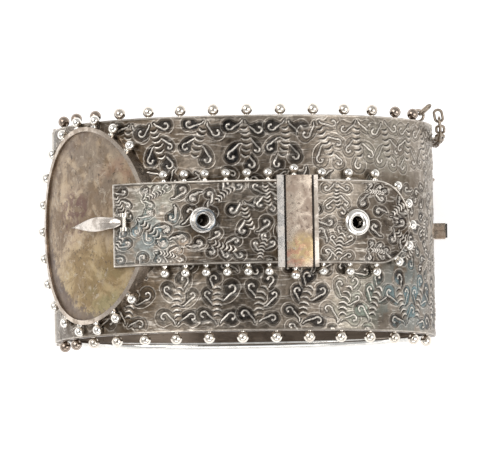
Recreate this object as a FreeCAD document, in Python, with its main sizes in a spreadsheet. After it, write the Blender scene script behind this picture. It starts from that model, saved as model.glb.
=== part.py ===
import FreeCAD, Part
import math
import os

import Sketcher

# A hinged silver bangle worked as a belt and buckle. It lies on its back half, buckle face up:
# X across the wrist opening, Y along the wrist, Z up, and z = 0 is the surface that it lies on.

doc = FreeCAD.newDocument("buckle_bangle")
sheet = doc.addObject("Spreadsheet::Sheet", "sizes")

DRIVING = [
    # the oval band
    ("half_span", 32.0),
    ("half_rise", 27.0),
    ("face_radius", 50.0),
    ("back_radius", 70.0),
    ("band_wall", 0.9),
    ("band_width", 36.0),
    ("rim_wire_rad", 0.65),
    # beads on pegs
    ("edge_bead_rad", 0.95),
    ("edge_peg_rad", 0.4),
    ("edge_peg_len", 1.0),
    ("strap_bead_rad", 0.85),
    ("strap_peg_rad", 0.3),
    ("strap_peg_len", 1.2),
    ("collar_rad", 0.55),
    ("collar_len", 0.25),
    # the strap and its fittings
    ("strap_height", 2.7),
    ("strap_sheet", 0.7),
    ("strap_half_width", 6.95),
    ("strap_left", -21.8),
    ("strap_shoulder", 22.2),
    ("strap_tip", 27.45),
    ("keeper_left", 5.5),
    ("keeper_right", 12.3),
    ("keeper_sheet", 0.6),
    ("keeper_half_width", 7.65),
    ("keeper_groove", 0.35),
    ("eyelet_rad", 2.2),
    ("eyelet_hole_rad", 0.92),
    ("eyelet_rise", 1.1),
    ("eyelet_tube", 0.4),
    # the buckle
    ("plate_radius", 40.0),
    ("plate_sheet", 0.5),
    ("plate_lift", 0.9),
    ("plate_angle", 50.0),
    ("plate_half_len", 13.8),
    ("plate_half_width", 16.6),
    ("plate_y", 0.6),
    ("bezel_wall", 0.75),
    ("bezel_rise", 0.45),
    ("prong_y", 0.45),
    ("prong_half_width", 1.45),
    ("prong_eye_rad", 0.8),
    ("prong_bar_rad", 0.35),
    # the hinge
    ("barrel_rad", 1.0),
    ("pin_rad", 0.45),
    ("run_fit", 0.05),
    ("turn_gap", 0.15),
    # the clasp
    ("box_half_width", 4.2),
    ("box_depth", 2.6),
    ("box_height", 7.2),
    ("box_wall", 0.5),
    ("leaf_sheet", 0.35),
    ("leaf_height", 5.4),
    ("leaf_half_width", 3.1),
    ("thumb_half_width", 1.3),
    ("thumb_half_height", 1.2),
    # the safety chain
    ("chain_wire_rad", 0.23),
    ("link_len", 1.9),
    ("link_width", 0.85),
    ("loop_rad", 0.95),
    ("loop_wire_rad", 0.26),
]
for row, (alias, value) in enumerate(DRIVING, start=1):
    sheet.set(f"A{row}", alias)
    sheet.set(f"B{row}", str(value))
    sheet.setAlias(f"B{row}", alias)
doc.recompute()
D = {alias: float(value) for alias, value in DRIVING}

A, B = D["half_span"], D["half_rise"]
WALL, HALF_Y = D["band_wall"], D["band_width"] / 2
# the rim wires stand a little proud of the back band, and the bangle rests on them
MID_Z = B - WALL / 2 + D["rim_wire_rad"]
AXIS_X = -(A - WALL / 2)
FIT = D["run_fit"]
# soldered pieces that are cut to fit one another lie this far apart
SEAM = 0.02


class Oval:
    """Half of a four-centre oval: one wide arc between two tighter side arcs. up is +1 or -1."""

    def __init__(self, wide, up):
        self.wide, self.up = wide, up
        self.side = (A * A + (wide - B) ** 2 - wide * wide) / (2 * (A - wide))
        self.side_x = A - self.side
        self.join = math.atan2(self.side_x, wide - B)

    def point(self, angle, offset=0.0):
        """Point at an angle from the vertical (radians, + to the right), offset outward."""
        s, c = math.sin(angle), math.cos(angle)
        if abs(angle) <= self.join:
            x, z = (self.wide + offset) * s, (self.wide + offset) * c - (self.wide - B)
        else:
            x = math.copysign(self.side_x, angle) + (self.side + offset) * s
            z = (self.side + offset) * c
        return x, MID_Z + self.up * z

    def angle_at(self, along):
        """Angle of the point at an arc length from the crown, + to the right."""
        flat = self.wide * self.join
        if abs(along) <= flat:
            return along / self.wide
        return math.copysign(self.join + (abs(along) - flat) / self.side, along)

    def angle_over(self, x, offset=0.0):
        """Angle of the point at an offset whose X is x."""
        if abs(x) <= (self.wide + offset) * math.sin(self.join):
            return math.asin(x / (self.wide + offset))
        return math.copysign(math.asin((abs(x) - self.side_x) / (self.side + offset)), x)


FACE = Oval(D["face_radius"], 1)
BACK = Oval(D["back_radius"], -1)


def vec(x, y, z=0.0):
    return FreeCAD.Vector(x, y, z)


def flat_plane(body, role):
    return next(f for f in body.Origin.OriginFeatures if f.Role == role)


def pad_body(name, role, edges, length, both=True):
    """A Body padded from closed edges drawn in an origin plane's own X and Y."""
    body = doc.addObject("PartDesign::Body", name)
    sketch = body.newObject("Sketcher::SketchObject", name + "_sketch")
    sketch.AttachmentSupport = [(flat_plane(body, role), "")]
    sketch.MapMode = "FlatFace"
    for edge in edges:
        sketch.addGeometry(edge, False)
    pad = body.newObject("PartDesign::Pad", name + "_pad")
    pad.Profile = sketch
    pad.Midplane = both
    if isinstance(length, str):
        pad.setExpression("Length", length)
    else:
        pad.Length = length
    body.Tip = pad
    return body


def arc_3(p, q, r):
    return Part.Arc(vec(*p), vec(*q), vec(*r))


def band_edges(oval, low, high, start, end):
    """Closed outline between two offsets of an oval, from one angle to another."""
    bends = [start] + [j for j in (-oval.join, oval.join) if start < j < end] + [end]
    edges = []
    for offset, stops in ((high, bends), (low, bends[::-1])):
        for one, two in zip(stops, stops[1:]):
            middle = (one + two) / 2
            ends = [oval.point(t, offset) for t in (one, middle, two)]
            edges.append(arc_3(*ends))
    edges.append(Part.LineSegment(vec(*oval.point(end, high)), vec(*oval.point(end, low))))
    edges.append(Part.LineSegment(vec(*oval.point(start, low)), vec(*oval.point(start, high))))
    return edges


def band_layer(name, oval, low, high, start, end, width):
    return pad_body(name, "XZ_Plane", band_edges(oval, low, high, start, end), width)


def boolean(kind, name, base, tool):
    made = doc.addObject("Part::" + kind, name)
    made.Base, made.Tool = base, tool
    return made


def cut(name, base, tool):
    return boolean("Cut", name, base, tool)


def common(name, base, tool):
    return boolean("Common", name, base, tool)


def fuse(name, parts):
    made = doc.addObject("Part::MultiFuse", name)
    made.Shapes = parts
    return made


def rod(name, radius, start, end):
    """Part::Cylinder between two points; radius is an expression."""
    made = doc.addObject("Part::Cylinder", name)
    made.setExpression("Radius", radius)
    along = vec(*end) - vec(*start)
    made.Height = along.Length
    made.Placement = FreeCAD.Placement(vec(*start), FreeCAD.Rotation(vec(0, 0, 1), along))
    return made


def box(name, low, high):
    made = doc.addObject("Part::Box", name)
    made.Length, made.Width, made.Height = (h - l for l, h in zip(low, high))
    made.Placement = FreeCAD.Placement(vec(*low), FreeCAD.Rotation())
    return made


NODES = []


def node(made, label):
    made.Label = label
    NODES.append((label, made))
    return made


def group_node(label, shapes):
    """Separate solids that share one node, each a copy of a piece set out on its seat."""
    made = doc.addObject("Part::Feature", label + "_group")
    made.Shape = Part.makeCompound(shapes)
    return node(made, label)


def seat(oval, angle, offset, y, turn=0.0):
    """Placement with local Z along the surface normal and local X along the band."""
    x, z = oval.point(angle, offset)
    return FreeCAD.Placement(vec(x, y, z), FreeCAD.Rotation(vec(0, 1, 0), math.degrees(angle) + turn))


# ---- the two halves of the band ----
QUARTER = math.pi / 2
FULL_Y = "sizes.band_width"
face_blank = band_layer("face_blank", FACE, -WALL, 0, -QUARTER, QUARTER, FULL_Y)
back_blank = band_layer("back_blank", BACK, -WALL, 0, -QUARTER, QUARTER, FULL_Y)

# the hinge barrel: seven knuckles, the first and last on the front half
KNUCKLES = 7
PITCH = 2 * HALF_Y / KNUCKLES
KNUCKLE_GAP = 0.1


def knuckle_span(index, grow=0.0):
    low = -HALF_Y + index * PITCH
    return low - grow, low + PITCH + grow


def barrel(name, radius, index, grow):
    low, high = knuckle_span(index, grow)
    return rod(name, radius, (AXIS_X, low, MID_Z), (AXIS_X, high, MID_Z))


def barrel_tools(side, own, other):
    """Cylinders that clear one half's own knuckles, and with a turning gap the other half's."""
    tools = [barrel(f"{side}_seat_{i}", f"sizes.barrel_rad + {SEAM}", i, 0) for i in own]
    tools += [
        barrel(f"{side}_clear_{i}", "sizes.barrel_rad + sizes.turn_gap", i, KNUCKLE_GAP)
        for i in other
    ]
    return fuse(f"{side}_barrel_tools", tools)


FRONT_KNUCKLES = range(0, KNUCKLES, 2)
BACK_KNUCKLES = range(1, KNUCKLES, 2)
face_tools = barrel_tools("face", FRONT_KNUCKLES, BACK_KNUCKLES)
back_tools = barrel_tools("back", BACK_KNUCKLES, FRONT_KNUCKLES)

# the notch in both edges for the thumb-piece
THUMB_GAP = 0.25
NOTCH_Y = D["thumb_half_width"] + THUMB_GAP
NOTCH_Z = D["thumb_half_height"] + THUMB_GAP
# the free edges of the two halves stand this far apart at the clasp
LIP = 0.1
notch = box("thumb_notch", (A - 4, -NOTCH_Y, MID_Z - NOTCH_Z), (A + 2, NOTCH_Y, MID_Z + NOTCH_Z))
lip = box("lip_gap", (A - 4, -HALF_Y - 1, MID_Z - LIP), (A + 2, HALF_Y + 1, MID_Z + LIP))
clasp_cut = fuse("clasp_cut", [notch, lip])

front_band = cut("front_band_trim", cut("front_band_hinge", face_blank, face_tools), clasp_cut)
node(front_band, "front_band")


# ---- the back half's rim wires ----
def rim_wire(name, y):
    path = []
    bends = [-QUARTER, -BACK.join, BACK.join, QUARTER]
    for one, two in zip(bends, bends[1:]):
        ends = [BACK.point(t, -WALL / 2) for t in (one, (one + two) / 2, two)]
        path.append(Part.Arc(*[vec(x, y, z) for x, z in ends]).toShape())
    spine = doc.addObject("Part::Feature", name + "_spine")
    spine.Shape = Part.Wire(path)
    ring = doc.addObject("Part::Circle", name + "_section")
    ring.setExpression("Radius", "sizes.rim_wire_rad")
    x, z = BACK.point(-QUARTER, -WALL / 2)
    ring.Placement = FreeCAD.Placement(vec(x, y, z), FreeCAD.Rotation())
    sweep = doc.addObject("Part::Sweep", name + "_sweep")
    sweep.Sections = [ring]
    sweep.Spine = (spine, ["Edge1", "Edge2", "Edge3"])
    sweep.Solid = True
    return sweep


RIM_Y = HALF_Y - D["rim_wire_rad"]
wires = {name: rim_wire(name, y) for name, y in (("rim_near", -RIM_Y), ("rim_far", RIM_Y))}
rim_clear = rod(
    "rim_clear", "sizes.barrel_rad + sizes.turn_gap",
    (AXIS_X, -HALF_Y - 1, MID_Z), (AXIS_X, HALF_Y + 1, MID_Z),
)
rim_tools = fuse("rim_tools", [rim_clear, lip])
for name, sweep in wires.items():
    node(cut(name + "_trim", sweep, rim_tools), "back_" + name)
inner_slab = band_layer(
    "back_inner_slab", BACK, -WALL, 0, -QUARTER, QUARTER, "sizes.band_width - 2 * sizes.rim_wire_rad"
)
wired_slab = cut("back_band_rims", inner_slab, fuse("both_wires", list(wires.values())))
back_band = cut(
    "back_band_trim",
    cut("back_band_hinge", wired_slab, back_tools),
    clasp_cut,
)
node(back_band, "back_band")


# ---- hinge barrel and pin ----
def knuckles(label, indices):
    solids = []
    for i in indices:
        low, high = knuckle_span(i)
        low, high = low + KNUCKLE_GAP / 2, high - KNUCKLE_GAP / 2
        start, end = (AXIS_X, low, MID_Z), (AXIS_X, high, MID_Z)
        tube = rod(f"{label}_{i}", "sizes.barrel_rad", start, end)
        bore = rod(f"{label}_bore_{i}", "sizes.pin_rad + sizes.run_fit", start, end)
        solids.append(cut(f"{label}_tube_{i}", tube, bore))
    made = doc.addObject("Part::Compound", label + "_set")
    made.Links = solids
    return node(made, label)


knuckles("front_knuckles", FRONT_KNUCKLES)
knuckles("back_knuckles", BACK_KNUCKLES)
PIN_END = HALF_Y + 0.05
HEAD = 0.45
pin_shank = rod("pin_shank", "sizes.pin_rad", (AXIS_X, -PIN_END, MID_Z), (AXIS_X, PIN_END, MID_Z))
pin_heads = []
for s in (-1, 1):
    head_start = (AXIS_X, s * PIN_END, MID_Z)
    head_end = (AXIS_X, s * (PIN_END + HEAD), MID_Z)
    pin_heads.append(rod(f"pin_head_{s}", "sizes.barrel_rad - 0.2", head_start, head_end))
node(fuse("hinge_pin_whole", [pin_shank] + pin_heads), "hinge_pin")


# ---- beads on pegs ----
def bead_master(name, bead, peg, length, collar=False):
    """A bead standing on a peg along +Z from the origin."""
    ball = doc.addObject("Part::Sphere", name + "_ball")
    ball.setExpression("Radius", bead)
    ball.Placement.Base = vec(0, 0, length)
    parts = [ball, rod(name + "_peg", peg, (0, 0, 0), (0, 0, length))]
    if collar:
        parts.append(rod(name + "_collar", "sizes.collar_rad", (0, 0, 0), (0, 0, D["collar_len"])))
    return fuse(name, parts)


edge_bead = bead_master("edge_bead", "sizes.edge_bead_rad", "sizes.edge_peg_rad", D["edge_peg_len"])
strap_bead = bead_master(
    "strap_bead", "sizes.strap_bead_rad", "sizes.strap_peg_rad", D["strap_peg_len"], collar=True
)
doc.recompute()


def placed(master, placement):
    copy = master.Shape.copy()
    copy.Placement = placement.multiply(copy.Placement)
    return copy


def toward(x, y, z, direction):
    return FreeCAD.Placement(vec(x, y, z), FreeCAD.Rotation(vec(0, 0, 1), direction))


def edge_row(label, side, first, pitch, count):
    shapes = []
    for k in range(count):
        x, z = FACE.point(FACE.angle_at(first + k * pitch), -WALL / 2)
        shapes.append(placed(edge_bead, toward(x, side * HALF_Y, z, vec(0, side, 0))))
    return group_node(label, shapes)


EDGE_PITCH = 5.63
FAR_START, NEAR_START = -38.75, -40.0
edge_row("far_edge_beads", 1, FAR_START, EDGE_PITCH, 14)
edge_row("near_edge_beads", -1, NEAR_START, EDGE_PITCH, 15)

# ---- the buckle plate: an oval of sheet, bent less than the band under it ----
PLATE = math.radians(-D["plate_angle"])
plate_x, plate_z = FACE.point(PLATE, D["plate_lift"])
PLATE_NORMAL = vec(math.sin(PLATE), 0, math.cos(PLATE))
PLATE_TURN = FreeCAD.Rotation(vec(0, 1, 0), -D["plate_angle"])
PLATE_AT = vec(plate_x, D["plate_y"], plate_z)
PLATE_CENTRE = PLATE_AT - PLATE_NORMAL * D["plate_radius"]
DEEP = 30.0


def drum(name, radius):
    """Cylinder about the plate's own axis of bending."""
    c = PLATE_CENTRE
    return rod(name, radius, (c.x, -DEEP, c.z), (c.x, DEEP, c.z))


def plate_prism(name, grow):
    """Oval prism square to the plate, larger all round by grow."""
    oval = Part.Ellipse(
        vec(0, D["plate_half_width"] + grow), vec(D["plate_half_len"] + grow, 0), vec(0, 0)
    )
    body = pad_body(name, "XY_Plane", [oval], 2 * 9.0)
    body.Placement = FreeCAD.Placement(PLATE_AT, PLATE_TURN)
    return body


plate_top = drum("plate_top", "sizes.plate_radius")
plate_low = drum("plate_low", "sizes.plate_radius - sizes.plate_sheet")
bezel_top = drum("bezel_top", "sizes.plate_radius + sizes.bezel_rise")
prism_out = plate_prism("plate_prism_out", 0.0)
prism_in = plate_prism("plate_prism_in", -D["bezel_wall"])
prism_fit = plate_prism("plate_prism_fit", -D["bezel_wall"] - SEAM)
# everything inside the face of the front band, so that fittings can be cut to sit on it
under_face = pad_body(
    "under_face", "XZ_Plane",
    band_edges(FACE, -0.7 * FACE.side, SEAM, -QUARTER, QUARTER), 2 * DEEP,
)
plate_sheet = cut("plate_bend", common("plate_blank", prism_fit, plate_top), plate_low)
node(cut("plate_seated", plate_sheet, under_face), "buckle_plate")
bezel_tube = cut("bezel_tube", prism_out, prism_in)
bezel = cut("bezel_seated", common("bezel_bend", bezel_tube, bezel_top), under_face)

# beads round the buckle, on pegs out of the bezel, left out where the strap crosses it
RING_BEADS = 22
RING_COVERED = 8.6
ring_len, ring_wide = D["plate_half_len"], D["plate_half_width"]


def ring_point(t):
    return ring_len * math.cos(t), ring_wide * math.sin(t)


def even_turns(count):
    """Angles that set points evenly round the bezel's oval, symmetric about the strap."""
    fine = 2000
    steps = [2 * math.pi * k / fine for k in range(fine + 1)]
    far = [0.0]
    for one, two in zip(steps, steps[1:]):
        (x0, y0), (x1, y1) = ring_point(one), ring_point(two)
        far.append(far[-1] + math.hypot(x1 - x0, y1 - y0))
    wanted = [far[-1] * k / count for k in range(count)]
    turns, at = [], 0
    for want in wanted:
        while far[at + 1] < want:
            at += 1
        turns.append(steps[at])
    return turns


ring_shapes = []
for t in even_turns(RING_BEADS):
    u, v = ring_point(t)
    if u > 0 and abs(v) < RING_COVERED:
        continue
    outward = vec(u / ring_len**2, v / ring_wide**2, 0).normalize()
    drop = D["plate_radius"] - math.sqrt(D["plate_radius"] ** 2 - u * u)
    local = toward(u, v, -drop - 0.15, outward)
    ring_shapes.append(placed(strap_bead, FreeCAD.Placement(PLATE_AT, PLATE_TURN).multiply(local)))
ring_beads = doc.addObject("Part::Feature", "ring_beads_raw")
ring_beads.Shape = Part.makeCompound(ring_shapes)
ring_seat = plate_prism("plate_prism_seat", SEAM)
node(cut("ring_beads_seated", ring_beads, ring_seat), "buckle_beads")


# ---- the strap: a hollow raised belt end over the band and the buckle's bar side ----
def strap_plan(name, left, shoulder, tip, half, deep=60.0):
    edges = [
        Part.LineSegment(vec(shoulder, half), vec(left, half)),
        Part.LineSegment(vec(left, half), vec(left, -half)),
        Part.LineSegment(vec(left, -half), vec(shoulder, -half)),
    ]
    bow = tip - shoulder
    # the tip is a half oval
    corner = math.sqrt(0.5)
    mid_up, mid_low = (shoulder + bow * corner, half * corner), (shoulder + bow * corner, -half * corner)
    edges.append(arc_3((shoulder, -half), mid_low, (tip, 0)))
    edges.append(arc_3((tip, 0), mid_up, (shoulder, half)))
    body = pad_body(name, "XY_Plane", edges, deep, both=False)
    body.Placement.Base = vec(0, 0, MID_Z)
    return body


def strap_block(name, low, high, inset):
    width = 2 * (D["strap_half_width"] - inset)
    slab = band_layer(name + "_slab", FACE, low, high, -QUARTER, QUARTER, width)
    plan = strap_plan(
        name + "_plan", D["strap_left"] + inset, D["strap_shoulder"], D["strap_tip"] - 1.4 * inset,
        D["strap_half_width"] - inset,
    )
    return common(name, slab, plan)


SHEET = D["strap_sheet"]
strap_out = strap_block("strap_out", SEAM, D["strap_height"], 0.0)
strap_in = strap_block("strap_in", -0.5, D["strap_height"] - SHEET, SHEET)
# the bezel is nicked where the strap crosses it, so there the strap clears only the plate's own top
room_drum = drum("room_drum", "sizes.plate_radius + sizes.run_fit")
plate_room = common("plate_room", plate_prism("plate_prism_room", FIT), room_drum)
bezel_nick = cut("bezel_nick", strap_block("strap_nick", SEAM, D["strap_height"] + 3, -FIT), plate_room)
node(cut("bezel_nicked", bezel, bezel_nick), "buckle_bezel")
strap_shell = cut("strap_over_buckle", cut("strap_shell", strap_out, strap_in), plate_room)


def eyelet_seat(x, y):
    return seat(FACE, FACE.angle_over(x, D["strap_height"]), D["strap_height"], y)


EYELETS = {"eyelet_left": (-6.8, 0.35), "eyelet_right": (18.5, -0.2)}
eyelet_bores = []
for name, place in EYELETS.items():
    bore = doc.addObject("Part::Cylinder", name + "_bore")
    bore.setExpression("Radius", f"sizes.eyelet_hole_rad + sizes.eyelet_tube + {SEAM}")
    bore.Height = 4.0
    bore.Placement = eyelet_seat(*place).multiply(FreeCAD.Placement(vec(0, 0, -2.0), FreeCAD.Rotation()))
    eyelet_bores.append(bore)
node(cut("strap_bored", strap_shell, fuse("eyelet_bores", eyelet_bores)), "strap")


def eyelet(name, domed):
    """A tube rivet: a flange over the strap and a short tube through it."""
    hole, rim = D["eyelet_hole_rad"], D["eyelet_rad"]
    rise, tube = D["eyelet_rise"], D["eyelet_hole_rad"] + D["eyelet_tube"]
    low = -SHEET - 0.3
    if domed:
        top = [arc_3((rim, SEAM), ((rim + hole) / 2 + 0.35, rise), (hole, rise * 0.6))]
    else:
        shelf = rim - 0.45
        top = [
            Part.LineSegment(vec(rim, SEAM), vec(rim, rise)),
            Part.LineSegment(vec(rim, rise), vec(shelf, rise)),
            Part.LineSegment(vec(shelf, rise), vec(shelf - 0.15, rise * 0.6)),
            Part.LineSegment(vec(shelf - 0.15, rise * 0.6), vec(hole + 0.2, rise * 0.6)),
            Part.LineSegment(vec(hole + 0.2, rise * 0.6), vec(hole + 0.1, rise * 0.85)),
            Part.LineSegment(vec(hole + 0.1, rise * 0.85), vec(hole, rise * 0.6)),
        ]
    edges = top + [
        Part.LineSegment(vec(hole, rise * 0.6), vec(hole, low)),
        Part.LineSegment(vec(hole, low), vec(tube, low)),
        Part.LineSegment(vec(tube, low), vec(tube, SEAM)),
        Part.LineSegment(vec(tube, SEAM), vec(rim, SEAM)),
    ]
    body = doc.addObject("PartDesign::Body", name + "_body")
    sketch = body.newObject("Sketcher::SketchObject", name + "_sketch")
    sketch.AttachmentSupport = [(flat_plane(body, "XZ_Plane"), "")]
    sketch.MapMode = "FlatFace"
    for edge in edges:
        sketch.addGeometry(edge, False)
    turn = body.newObject("PartDesign::Revolution", name + "_turn")
    turn.Profile = sketch
    turn.ReferenceAxis = (sketch, ["V_Axis"])
    turn.Angle = 360
    body.Tip = turn
    body.Placement = eyelet_seat(*EYELETS[name])
    return node(body, name)


eyelet("eyelet_left", domed=False)
eyelet("eyelet_right", domed=True)

# beads along the strap's sides and round its tip
PEG_LEVEL = D["strap_height"] / 2
SIDE_ALONG = [-13.1 + 3.4 * k for k in range(6)] + [12.7, 17.2, 22.1]
side_shapes = []
for side in (-1, 1):
    for along in SIDE_ALONG:
        x, z = FACE.point(FACE.angle_at(along), PEG_LEVEL)
        y = side * (D["strap_half_width"] + SEAM)
        side_shapes.append(placed(strap_bead, toward(x, y, z, vec(0, side, 0))))
TIP_TURNS = [-56.0, -28.0, 0.0, 28.0, 56.0]
for degrees in TIP_TURNS:
    t = math.radians(degrees)
    plan_x = D["strap_shoulder"] + (D["strap_tip"] - D["strap_shoulder"]) * math.cos(t)
    plan_y = D["strap_half_width"] * math.sin(t)
    angle = FACE.angle_over(plan_x, PEG_LEVEL)
    x, z = FACE.point(angle, PEG_LEVEL)
    out = vec(math.cos(angle) * math.cos(t), 0.6 * math.sin(t), -math.sin(angle) * math.cos(t)).normalize()
    start = vec(x, plan_y, z) - out * 0.3
    side_shapes.append(placed(strap_bead, toward(start.x, start.y, start.z, out)))
strap_beads = doc.addObject("Part::Feature", "strap_beads_raw")
strap_beads.Shape = Part.makeCompound(side_shapes)
strap_seat = strap_block("strap_seat", -1.0, D["strap_height"] + 1.0, -SEAM)
node(cut("strap_beads_seated", strap_beads, strap_seat), "strap_beads")


# ---- the keeper: a loop over the strap with two turned grooves ----
def keeper_slab(name, low, high, half, left, right):
    start, end = FACE.angle_over(left, high), FACE.angle_over(right, high)
    return band_layer(name, FACE, low, high, start, end, 2 * half)


K_IN = D["strap_height"] + SEAM
K_OUT = K_IN + D["keeper_sheet"]
K_HALF = D["keeper_half_width"]
K_LEFT, K_RIGHT = D["keeper_left"], D["keeper_right"]
LEFT_BORDER, RIGHT_BORDER = 1.3, 0.85
keeper_out = keeper_slab("keeper_out", SEAM, K_OUT, K_HALF, K_LEFT, K_RIGHT)
keeper_in = keeper_slab("keeper_in", -1.0, K_IN, D["strap_half_width"] + SEAM, K_LEFT - 2, K_RIGHT + 2)
groove_tools = []
for name, centre in (("left", K_LEFT + LEFT_BORDER), ("right", K_RIGHT - RIGHT_BORDER)):
    groove_tools.append(
        keeper_slab(
            f"groove_{name}", K_OUT - 0.3, K_OUT + 1, K_HALF + 1,
            centre - D["keeper_groove"] / 2, centre + D["keeper_groove"] / 2,
        )
    )
keeper = cut("keeper_grooved", cut("keeper_loop", keeper_out, keeper_in), fuse("grooves", groove_tools))
node(keeper, "strap_keeper")
keeper_shapes = []
x, z = FACE.point(FACE.angle_over((K_LEFT + K_RIGHT) / 2 - 0.8), PEG_LEVEL)
for side in (-1, 1):
    keeper_shapes.append(placed(strap_bead, toward(x, side * (K_HALF + SEAM), z, vec(0, side, 0))))
group_node("keeper_beads", keeper_shapes)

# ---- the prong, its bar and the bar's lugs ----
PRONG_OFF = D["strap_height"] + 0.95
prong_angle = FACE.angle_over(-20.0, PRONG_OFF)
pivot_x, pivot_z = FACE.point(prong_angle, PRONG_OFF)
BAR_HALF = 1.5
PRONG_Y = D["prong_y"]
bar_ends = (pivot_x, PRONG_Y - BAR_HALF, pivot_z), (pivot_x, PRONG_Y + BAR_HALF, pivot_z)
bar = rod("prong_bar_rod", "sizes.prong_bar_rad", *bar_ends)
lugs = []
for side in (-1, 1):
    foot_x, foot_z = FACE.point(prong_angle, D["strap_height"] + SEAM)
    near, far = sorted((PRONG_Y + side * (BAR_HALF - 0.6), PRONG_Y + side * BAR_HALF))
    knob_ends = (pivot_x, near, pivot_z), (pivot_x, far, pivot_z)
    knob = rod(f"lug_knob_{near:.0f}", "sizes.prong_eye_rad - 0.1", *knob_ends)
    foot = box(f"lug_foot_{near:.0f}", (-0.7, 0, 0), (0.7, 0.6, PRONG_OFF - D["strap_height"] - SEAM))
    foot.Placement = FreeCAD.Placement(
        vec(foot_x, near, foot_z), FreeCAD.Rotation(vec(0, 1, 0), math.degrees(prong_angle))
    ).multiply(foot.Placement)
    lugs += [knob, foot]
node(fuse("prong_bar_whole", [bar] + lugs), "prong_bar")

# side view of the prong, from the eye to the tip, drawn as two bows that meet at the tip
tip_angle = FACE.angle_over(-29.6, 2.0)
mid_angle = (prong_angle + tip_angle) / 2
eye_top = FACE.point(prong_angle, PRONG_OFF + 0.55)
eye_under = FACE.point(prong_angle, PRONG_OFF - 0.3)
bow_top = FACE.point(mid_angle, 3.1)
bow_under = FACE.point(mid_angle, 2.35)
tip_top = FACE.point(tip_angle, 1.65)
tip_under = FACE.point(tip_angle, 1.35)
side_edges = [
    arc_3(eye_top, bow_top, tip_top),
    Part.LineSegment(vec(*tip_top), vec(*tip_under)),
    arc_3(tip_under, bow_under, eye_under),
    Part.LineSegment(vec(*eye_under), vec(*eye_top)),
]
prong_side = pad_body("prong_side", "XZ_Plane", side_edges, 2 * 3.0)
# leaf outline seen from above: narrow neck, widest near the eye, long point
leaf_tip, leaf_neck, leaf_end = -29.7, -21.2, -19.2
half = D["prong_half_width"]
leaf_points = [
    (leaf_end, 0.62), (leaf_neck, 0.62), (leaf_neck - 0.9, half * 0.8), (leaf_neck - 2.2, half),
    (leaf_neck - 4.2, half * 0.78), (leaf_neck - 6.4, half * 0.42), (leaf_tip, 0.12),
]
outline = leaf_points + [(x, -y) for x, y in reversed(leaf_points)]
leaf_edges = [
    Part.LineSegment(vec(*p), vec(*q)) for p, q in zip(outline, outline[1:] + outline[:1])
]
leaf_plan = pad_body("leaf_plan", "XY_Plane", leaf_edges, 60.0, both=False)
leaf_plan.Placement.Base = vec(0, PRONG_Y, MID_Z)
EYE_HALF = BAR_HALF - 0.6 - 0.12
eye_ends = (pivot_x, PRONG_Y - EYE_HALF, pivot_z), (pivot_x, PRONG_Y + EYE_HALF, pivot_z)
eye = rod("prong_eye", "sizes.prong_eye_rad", *eye_ends)
bore_ends = (pivot_x, -2 * BAR_HALF, pivot_z), (pivot_x, 2 * BAR_HALF, pivot_z)
eye_bore = rod("prong_eye_bore", "sizes.prong_bar_rad + sizes.run_fit", *bore_ends)
prong_whole = fuse("prong_whole", [common("prong_leaf", prong_side, leaf_plan), eye])
prong = cut("prong_bored", prong_whole, eye_bore)
node(prong, "prong")

# ---- the clasp: a box in the front half, a folded tongue on the back half ----
BOX_OUT = A - WALL - 0.55
BOX_IN = BOX_OUT - D["box_depth"]
box_w, box_h, wall = D["box_half_width"], D["box_height"], D["box_wall"]
clasp_floor = MID_Z + LIP
box_shell = box("clasp_box_shell", (BOX_IN, -box_w, clasp_floor), (A, box_w, clasp_floor + box_h))
box_room = box(
    "clasp_box_room", (BOX_IN + wall, -box_w + wall, clasp_floor - 1),
    (A + 1, box_w - wall, clasp_floor + box_h - wall),
)
inside_face = pad_body(
    "inside_face", "XZ_Plane", band_edges(FACE, -12, -WALL - SEAM, -QUARTER, QUARTER), 2 * HALF_Y
)
node(common("clasp_box_seated", cut("clasp_box_open", box_shell, box_room), inside_face), "clasp_box")

LEAF = D["leaf_sheet"]
LEAF_HALF = D["leaf_half_width"]
INNER_LEAF = BOX_IN + wall + 0.35
leaf_low = MID_Z - 2.6
leaf_top = MID_Z + D["leaf_height"]
fixed_leaf = box(
    "fixed_leaf", (INNER_LEAF, -LEAF_HALF, leaf_low), (INNER_LEAF + LEAF, LEAF_HALF, leaf_top)
)
shelf = box("tongue_shelf", (INNER_LEAF, -LEAF_HALF, leaf_low - 0.5), (A, LEAF_HALF, leaf_low))
inside_back = pad_body(
    "inside_back", "XZ_Plane", band_edges(BACK, -12, -WALL - SEAM, -QUARTER, QUARTER), 2 * HALF_Y
)
shelf_seated = common("tongue_shelf_seated", shelf, inside_back)
node(fuse("tongue_whole", [fixed_leaf, shelf_seated]), "clasp_tongue")

# the sprung leaf leans away from the fixed one and carries the thumb-piece
SPRUNG_X = A - WALL - 1.15
node(
    box(
        "sprung_leaf", (SPRUNG_X, -LEAF_HALF + 0.3, MID_Z - 1.6),
        (SPRUNG_X + LEAF, LEAF_HALF - 0.3, leaf_top - 0.3),
    ),
    "spring_leaf",
)
tw, th = D["thumb_half_width"], D["thumb_half_height"]
THUMB_START = SPRUNG_X + LEAF + SEAM
THUMB_OUT = A + 2.1
thumb_block = box("thumb_block", (THUMB_START, -tw, MID_Z - th), (THUMB_OUT, tw, MID_Z + th))
ribs = []
RIBS = 5
for k in range(RIBS):
    z = MID_Z - th + (k + 0.5) * 2 * th / RIBS
    for side in (-1, 1):
        y = side * tw
        rib_ends = (A + 0.2, y, z), (THUMB_OUT + 1, y, z)
        ribs.append(rod(f"rib_{k}_{side}", "sizes.thumb_half_height * 0.1", *rib_ends))
score = box("thumb_score", (A + 0.2, -0.08, MID_Z + th - 0.25), (THUMB_OUT + 1, 0.08, MID_Z + th + 1))
node(cut("thumb_ribbed", thumb_block, fuse("thumb_tools", ribs + [score])), "thumb_piece")
END_PLATE = 0.3
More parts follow.
